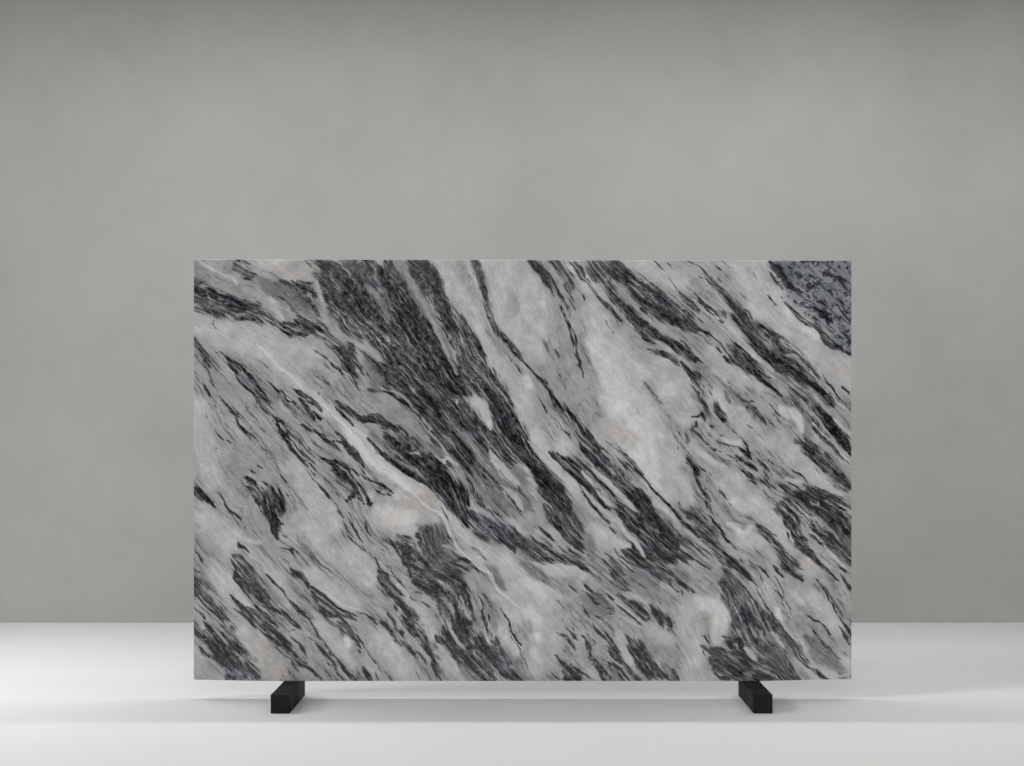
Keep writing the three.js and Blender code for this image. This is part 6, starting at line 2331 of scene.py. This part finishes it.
def dark_stone(n, shear, deep, share, parts):
    """The tone of the dark stone: blackest where it is purest, with thin pale wisps in it."""
    wisps = n.threads(drawn_noise(n, shear, "wisps"), WISP_WIDTH)
    few = n.ramp(drawn_noise(n, shear, "wisp_places"), *WISP_PLACES)
    wisps = n.math("MULTIPLY", wisps, few)
    return with_parts(n, deep, DARK_TONE, {**parts, "depth": n.ramp(share, *PURE), "wisps": wisps})


def line_cover(n, shade, where, streaks):
    """How much each channel of a shade's lines covers: their widths vary and their edges are ragged."""
    wobble = even_noise(n, where, "line_wobble")
    swell = n.scaled(even_noise(n, where, "line_swell"), LINE_SWELL)
    swell = n.add(swell, streaks, LINE_RAGGED[shade])
    covers = []
    for i in range(LINE_CHANNELS[shade]):
        offset, width, strength = n.painted(f"{shade}_line_{i}")
        distance = n.math("ABSOLUTE", n.add(offset, wobble, LINE_WOBBLE))
        beyond = n.math("SUBTRACT", distance, n.math("ADD", width, swell))
        covers.append(n.math("MULTIPLY", n.ramp(beyond, *LINE_EDGE, 1.0, 0.0), strength))
    return covers


def dark_lines(n, where, streaks):
    """How much the thin dark lines cover."""
    total, *others = line_cover(n, "dark", where, streaks)
    for cover in others:
        total = n.math("MAXIMUM", total, cover)
    return total


def with_white_lines(n, tone, where, streaks):
    """The tone, with the thin white lines over it."""
    for cover in line_cover(n, "white", where, streaks):
        tone = n.mix(cover, tone, WHITE_LINE_TONE)
    return tone


def saw_marks(n, where):
    """Fine parallel scratches from the gang saw."""
    marks = n.noise(n.put("Mapping", {"Vector": where, "Scale": SAW_MARKS}), detail=3)
    height = n.add(marks, even_noise(n, where, "saw_grain"), SAW_GRAIN)
    return n.put("Bump", {"Strength": SAW_BUMP, "Distance": BUMP_HEIGHT, "Height": height})


def tinted(n, tone, warm, plum):
    """The tone as a colour: neutral, with blue in its darks, and warmed or turned to plum where painted."""
    parts = {"tone": tone, "cold": n.scaled(tone, *COLD), "warm": warm, "plum": plum}
    channels = []
    for i in range(3):
        gains = {name: gain[i] for name, gain in TINTS.items() if gain[i]}
        bright = n.math("MAXIMUM", with_parts(n, tone, gains, parts), 0.0)
        channels.append(n.scaled(n.math("POWER", bright, GAMMA), ALBEDO_OF_FULL_TONE))
    return n.put("CombineColor", dict(enumerate(channels)))


# ---------------------------------------------------------------- the paint on the bearers
PAINT_TONE = 0.0037
PAINT_GRAIN, PAINT_BLOTCHES = 0.0003, 0.0002  # how much they add to the tone
PAINT_COLOUR = 1.0, 1.0, 0.9  # red, green and blue, as shares of the tone
PAINT_ROUGHNESS = 0.6, 0.75
PAINT_SPECULAR = 0.3
TIMBER_GRAIN = 90, 4, 90  # cycles per metre: the grain runs from the front of a bearer to its back


def timber_material():
    """Matt black paint over sawn timber, with the grain showing through it."""
    n = Nodes("black_paint")
    where = n.put("TexCoord", {}, output="Object")
    grain = n.noise(n.put("Mapping", {"Vector": where, "Scale": TIMBER_GRAIN}), detail=4)
    blotch = even_noise(n, where, "paint_blotches")
    tone = n.math("ADD", n.scaled(grain, PAINT_GRAIN), n.scaled(blotch, PAINT_BLOTCHES, PAINT_TONE))
    n.set("Base Color", n.colour(tone, PAINT_COLOUR))
    n.set("Roughness", n.ramp(blotch, *USUAL, *PAINT_ROUGHNESS))
    n.set("Normal", n.put("Bump", {"Strength": TIMBER_BUMP, "Distance": BUMP_HEIGHT, "Height": grain}))
    n.set("Specular IOR Level", PAINT_SPECULAR)
    return n.material


# ---------------------------------------------------------------- the slab's mesh
# The slab's surface on the map that its materials can be baked to: lower left and upper right corners.
FRONT_MAP = (0.0, 0.0), (1.0, 0.64)
BACK_MAP = (0.0, 0.66), (0.53, 1.0)
RIM_MAP = 0.55, 0.67  # the lower left corner of the strip for the slab's top edge
RIM_MAP_STEP = 0.08  # from each side's strip up to the next
RIM_SHARES = 0, 0.15, 0.65, 0.8  # where the arrises and the edge lie across a strip
PAINTED = {"stone": ("dark", "streak", "light"), "tints": ("deep", "warm", "plum")}  # attribute: layers
BACK_COUNT = (ROWS // 2 + 1) * (COLUMNS // 2 + 1)  # vertices of the sawn back
CHIP_SIZE = 1.5  # centimetres
UNCHIPPED = 0.8  # how far above its mean the noise has to be before there is a chip


def perimeter(rows, columns):
    """Row and column of the grid's outer vertices, once round from the top left corner."""
    top = [(0, c) for c in range(columns)]
    right = [(r, columns) for r in range(rows)]
    bottom = [(rows, c) for c in range(columns, 0, -1)]
    left = [(r, 0) for r in range(rows, 0, -1)]
    return tuple(np.array(top + right + bottom + left).T)


def chipped_face(canvas):
    """The polished face's places, with its outermost vertices chipped back a little at random."""
    x, z = face_places(ARRIS)
    across, up = [np.clip(canvas.noise(CHIP_SIZE) - UNCHIPPED, 0, 1) * CHIP_DEPTH for _ in range(2)]
    x[:, 0] += across[:, 0]
    x[:, -1] -= across[:, -1]
    z[0] -= up[0]
    z[-1] += up[-1]
    return x, z


def upright(x, y, z):
    """The places with these x and z, all of them at y, in one list."""
    return np.stack([x, np.full_like(x, y), z], -1).reshape(-1, 3)


def slab_vertices(canvas, index):
    """The mesh's places and, for each, the vertex of the grid that it is painted as.

    First come the polished face's, then a ring round either side of the edge, and then the back's.
    """
    front_y, back_y = SLAB_LOW[1], SLAB_HIGH[1]
    rim = perimeter(ROWS, COLUMNS)
    x, z = chipped_face(canvas)
    places = [upright(x, front_y, z)]
    sources = [index.ravel()]
    x, z = face_places(0.0)
    for y in (front_y + ARRIS, back_y - ARRIS):
        places.append(upright(x[rim], y, z[rim]))
        sources.append(index[rim])
    x, z = face_places(ARRIS)
    places.append(upright(x[::2, ::2], back_y, z[::2, ::2]))
    sources.append(index[::2, ::2].ravel())
    return np.concatenate(places), np.concatenate(sources)


def slab_faces(index):
    """The mesh's faces, each face's corners on the map, and how many of the faces are polished."""
    rim = perimeter(ROWS, COLUMNS)
    count = len(rim[0])
    first = index.size
    second = first + count
    back = np.arange(BACK_COUNT).reshape(ROWS // 2 + 1, COLUMNS // 2 + 1) + second + count
    rings = [index[rim], np.arange(first, second), np.arange(second, second + count)]
    last_ring = back[rim[0] // 2, rim[1] // 2]
    faces, spots = grid_faces(index, *FRONT_MAP)
    polished = len(faces)
    rim_faces(faces, spots, rings, last_ring)
    back_faces, back_spots = grid_faces(back, *BACK_MAP)
    faces += [face[::-1] for face in back_faces]
    spots += [face[::-1] for face in back_spots]
    return faces, spots, polished


def make_slab(canvas):
    """The polished face, the arris and edge all round, and the sawn back, as one closed mesh."""
    index = np.arange((ROWS + 1) * (COLUMNS + 1)).reshape(ROWS + 1, COLUMNS + 1)
    places, sources = slab_vertices(canvas, index)
    faces, spots, polished = slab_faces(index)
    mesh = bpy.data.meshes.new("slab")
    mesh.from_pydata(places.tolist(), [], faces)
    mesh.materials.append(marble_material("polished_marble", polished=True))
    mesh.materials.append(marble_material("sawn_marble", polished=False))
    mesh.polygons.foreach_set("material_index", [int(i >= polished) for i in range(len(faces))])
    layer = mesh.uv_layers.new(name="OFBake")
    layer.data.foreach_set("uv", [number for face in spots for spot in face for number in spot])
    keep_painting(mesh, canvas, sources)
    finish_piece(mesh, "veined_slab", "marble_slab")


def grid_faces(index, low, high):
    """The quads of a grid of vertices, and their corners on the map, between its places low and high."""
    quads = np.stack([index[:-1, :-1], index[1:, :-1], index[1:, 1:], index[:-1, 1:]], -1).reshape(-1, 4)
    down, right = [s.ravel() for s in np.indices((index.shape[0] - 1, index.shape[1] - 1))]
    u = (right[:, None] + np.array([0, 0, 1, 1])) / (index.shape[1] - 1)
    v = 1 - (down[:, None] + np.array([0, 1, 1, 0])) / (index.shape[0] - 1)
    spots = np.array(low) + np.stack([u, v], -1) * (np.array(high) - np.array(low))
    return quads.tolist(), spots.tolist()


def rim_faces(faces, spots, rings, last_ring):
    """Adds the arrises and the edge. Each side of the slab has its own strip of the map.

    The rings run round the slab from the polished face backwards. The last, on the back's coarser grid, has
    every vertex twice, so that the faces next to it have five corners.
    """
    count = len(rings[0])
    start = 0
    for side, length in enumerate((COLUMNS, ROWS, COLUMNS, ROWS)):
        left, bottom = RIM_MAP[0], RIM_MAP[1] + side * RIM_MAP_STEP
        u = [left + (1 - left) * step / length for step in range(length + 1)]
        v = [bottom + RIM_MAP_STEP * share for share in RIM_SHARES]
        for step in range(length):
            i, j = start + step, (start + step + 1) % count
            for ring in range(2):
                near, far = rings[ring], rings[ring + 1]
                faces.append([int(n) for n in (near[i], near[j], far[j], far[i])])
                spots.append([(u[step], v[ring]), (u[step + 1], v[ring]),
                              (u[step + 1], v[ring + 1]), (u[step], v[ring + 1])])
        for step in range(0, length, 2):
            i, j, k = start + step, start + step + 1, (start + step + 2) % count
            corners = (rings[2][i], rings[2][j], rings[2][k], last_ring[k], last_ring[i])
            faces.append([int(n) for n in corners])
            spots.append([(u[step], v[2]), (u[step + 1], v[2]), (u[step + 2], v[2]),
                          (u[step + 2], v[3]), (u[step], v[3])])
        start += length


def keep_painting(mesh, canvas, source):
    """Writes the painting to the mesh. `source` is the grid vertex that each mesh vertex is painted as.

    The last vertices are the back's: their grid is coarser, so they keep a blurred painting.
    """
    across, along = across_and_along(canvas)
    soft = {name: canvas.blurred(layer, 2 * CELL) for name, layer in canvas.layers.items()}
    attributes = {"shear": (across, along, np.zeros_like(across))}
    for name, names in PAINTED.items():
        attributes[name] = [canvas.layers[layer] for layer in names]
    for shade, channels in canvas.lines.items():
        for i, channel in enumerate(channels):
            attributes[f"{shade}_line_{i}"] = channel[:3]
    for name, numbers in attributes.items():
        values = np.stack([layer.ravel()[source] for layer in numbers], -1)
        if name in PAINTED:
            blurred = [soft[layer].ravel()[source[-BACK_COUNT:]] for layer in PAINTED[name]]
            values[-BACK_COUNT:] = np.stack(blurred, -1)
        attribute = mesh.attributes.new(name, "FLOAT_VECTOR", "POINT")
        attribute.data.foreach_set("vector", values.astype(np.float32).ravel())


def finish_piece(mesh, name, node):
    """Puts the mesh in the scene in place of a CAD node."""
    mesh.validate()
    mesh.update()
    piece = bpy.data.objects.new(name, mesh)
    bpy.context.scene.collection.objects.link(piece)
    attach(piece, "root")
    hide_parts(node)


# ---------------------------------------------------------------- bearers
EASING = 0.0022  # radius of the bearers' corners
EASING_STEPS = 3
CUTS = 60  # across each bearer's length, so that its corners can be worn unevenly
KNOCKS = 0.004  # how deep a knock goes where the noise is 1
KNOCKS_ALONG, KNOCKS_ACROSS = 34, 9  # cycles of that noise per metre
KNOCKS_APART = 5.0  # metres of that noise between one bearer and the next


def make_bearer(node, material, seed):
    """A square timber with eased, slightly worn corners, inside the CAD node's box."""
    low, high = [Vector(corner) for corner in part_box(node)]
    middle, half = (low + high) / 2, (high - low) / 2
    block = bmesh.new()
    bmesh.ops.create_cube(block, size=2.0)
    bmesh.ops.scale(block, vec=half, verts=block.verts)
    edges = block.edges[:]
    bmesh.ops.bevel(block, geom=edges, offset=EASING, segments=EASING_STEPS, profile=0.5, affect="EDGES")
    lengthwise = [e for e in block.edges if abs(e.verts[0].co.y - e.verts[1].co.y) > half.y]
    bmesh.ops.subdivide_edges(block, edges=lengthwise, cuts=CUTS, use_grid_fill=True)
    for vertex in block.verts:
        wear = wear_at(vertex.co, half, seed)
        vertex.co.x -= math.copysign(wear, vertex.co.x)
        if vertex.co.z > 0:
            vertex.co.z -= wear
    bmesh.ops.translate(block, vec=middle, verts=block.verts)
    mesh = bpy.data.meshes.new(node)
    block.to_mesh(mesh)
    block.free()
    mesh.materials.append(material)
    finish_piece(mesh, f"painted_{node}", node)


def wear_at(place, half, seed):
    """How far a place near one of the long corners has been knocked in; none on the flats."""
    close = 1.0
    for inside in (half.x - abs(place.x), half.z - abs(place.z)):
        close *= max(0.0, 1 - inside / EASING)
    spot = Vector((seed + KNOCKS_ACROSS * place.x, KNOCKS_ALONG * place.y, KNOCKS_ACROSS * place.z))
    bumps = noise.noise(spot)
    return KNOCKS * math.sqrt(close) * max(0.0, bumps)


def make_bearers():
    """The two bearers, worn in different places."""
    material = timber_material()
    for i, node in enumerate(("left_bearer", "right_bearer")):
        make_bearer(node, material, KNOCKS_APART * i)


# ---------------------------------------------------------------- camera
PHOTO_WIDTH, PHOTO_HEIGHT = 1024, 766
VANISHING_X, VANISHING_Y = 522.6, 435.0  # the pixel that the camera looks straight at
FOCAL_PIXELS = 1257.7  # pixels to a metre, a metre away
CAMERA_DISTANCE = 5.545  # from the polished face
CAMERA_HEIGHT = 1.1646
SENSOR = 36.0


def make_camera():
    """A level camera, square to the slab, whose frame is shifted as the photo's is."""
    data = bpy.data.cameras.new("camera")
    data.sensor_width = SENSOR
    data.lens = FOCAL_PIXELS * SENSOR / PHOTO_WIDTH
    data.shift_x = (PHOTO_WIDTH / 2 - VANISHING_X) / PHOTO_WIDTH
    data.shift_y = (VANISHING_Y - PHOTO_HEIGHT / 2) / PHOTO_WIDTH
    camera = bpy.data.objects.new("camera", data)
    camera.location = (0, SLAB_LOW[1] - CAMERA_DISTANCE, CAMERA_HEIGHT)
    camera.rotation_euler = (math.pi / 2, 0, 0)
    bpy.context.scene.collection.objects.link(camera)
    bpy.context.scene.camera = camera


# ---------------------------------------------------------------- floor and backdrop
ROOM_REACH, WALL_HEIGHT = 14.0, 8
WALL_BEHIND = 2.25  # from the slab's middle
FLOOR_TONE, FLOOR_CLOUDS = 0.62, 0.003
FLOOR_COLOUR = 1.0, 1.0, 0.985  # red, green and blue, as shares of the tone
FLOOR_ROUGHNESS = 0.7
WALL_TONE, WALL_CLOUDS, WALL_STAINS = 0.375, 0.008, 0.003
WALL_COLOUR = 1.01, 1.0, 0.96
WALL_ROUGHNESS = 0.9


def make_plane(name, corners, material):
    """A flat part of the room."""
    mesh = bpy.data.meshes.new(name)
    mesh.from_pydata(corners, [], [(0, 1, 2, 3)])
    mesh.materials.append(material)
    plane = bpy.data.objects.new(name, mesh)
    bpy.context.scene.collection.objects.link(plane)
    return plane


def floor_material():
    """Pale, faintly clouded concrete."""
    n = Nodes("pale_floor")
    where = n.put("TexCoord", {}, output="Object")
    tone = n.scaled(even_noise(n, where, "floor_clouds"), FLOOR_CLOUDS, FLOOR_TONE)
    n.set("Base Color", n.colour(tone, FLOOR_COLOUR))
    n.set("Roughness", FLOOR_ROUGHNESS)
    return n.material


def wall_material():
    """A grey wall, clouded and stained, that is clear from behind."""
    n = Nodes("grey_wall")
    where = n.put("TexCoord", {}, output="Object")
    tone = n.scaled(even_noise(n, where, "wall_clouds"), WALL_CLOUDS, WALL_TONE)
    tone = n.add(tone, even_noise(n, where, "wall_stains"), WALL_STAINS)
    n.set("Base Color", n.colour(tone, WALL_COLOUR))
    n.set("Roughness", WALL_ROUGHNESS)
    facing = n.put("NewGeometry", {}, output="Backfacing")
    clear = n.put("BsdfTransparent", {})
    shown = n.put("MixShader", {0: facing, 1: n.surface.outputs[0], 2: clear})
    n.tree.links.new(shown, n.tree.nodes["Material Output"].inputs["Surface"])
    return n.material


def make_room():
    """The floor, and a wall behind the slab that neither shades it nor lights it."""
    left, right = -ROOM_REACH, ROOM_REACH
    floor = [(left, left, 0), (right, left, 0), (right, right, 0), (left, right, 0)]
    make_plane("floor", floor, floor_material())
    y = SLAB_MIDDLE + WALL_BEHIND
    corners = [(left, y, 0), (right, y, 0), (right, y, WALL_HEIGHT), (left, y, WALL_HEIGHT)]
    wall = make_plane("wall", corners, wall_material())
    wall.visible_shadow = False
    wall.visible_diffuse = False
    wall.visible_glossy = False


# ---------------------------------------------------------------- lights
ROOM_LIGHT, ROOM_COLOUR = 0.1, (1, 1, 0.99, 1)
STRIP = {"shape": "RECTANGLE", "size": 8.0, "size_y": 0.06}
SUN = {"angle": math.radians(9)}
FRONT_PANEL = {"shape": "RECTANGLE", "size": 6.0, "size_y": 1.2}
SIDE_PANEL = {"shape": "RECTANGLE", "size": 2.5, "size_y": 2.0, "spread": math.radians(110)}
# Each light's kind, its power, its place and target from the foot of the slab's middle, and its settings.
LIGHTS = {
    "rear_strip": ("AREA", 106, (0, 0.47, 4.0), (0, 0.47, 0), STRIP),
    "front_strip": ("AREA", 28, (0, -0.47, 4.0), (0, -0.47, 0), STRIP),
    "low_sun": ("SUN", 1.05, (-1.30, -0.42, 0.80), (0, 0, 0), SUN),
    "front_fill": ("AREA", 208, (0, -7.5, 3.9), (0, 0, 0.9), FRONT_PANEL),
    "left_fill": ("AREA", 36, (-3.6, 0.3, 3.0), (-3.384, -0.2, 0), SIDE_PANEL),
    "right_fill": ("AREA", 9, (2.5, 0.3, 3.0), (2.35, -0.2, 0), SIDE_PANEL),
}


def make_light(name, kind, power, place, target, settings):
    """A light at the place that shines towards the target."""
    data = bpy.data.lights.new(name, kind)
    data.energy = power
    for setting, value in settings.items():
        setattr(data, setting, value)
    light = bpy.data.objects.new(name, data)
    light.location = Vector(place) + Vector((0, SLAB_MIDDLE, 0))
    light.rotation_euler = (Vector(target) - Vector(place)).to_track_quat("-Z", "Y").to_euler()
    bpy.context.scene.collection.objects.link(light)


def make_lights():
    """A soft room, a strip above either face of the slab, a low sun from the left, and three soft fills."""
    world = bpy.data.worlds.new("studio")
    world.use_nodes = True
    background = world.node_tree.nodes["Background"]
    background.inputs["Color"].default_value = ROOM_COLOUR
    background.inputs["Strength"].default_value = ROOM_LIGHT
    bpy.context.scene.world = world
    for name, light in LIGHTS.items():
        make_light(name, *light)


# ---------------------------------------------------------------- the scene
bpy.context.scene.view_settings.view_transform = "Standard"
make_camera()
make_room()
make_lights()
make_slab(paint_marble())
make_bearers()
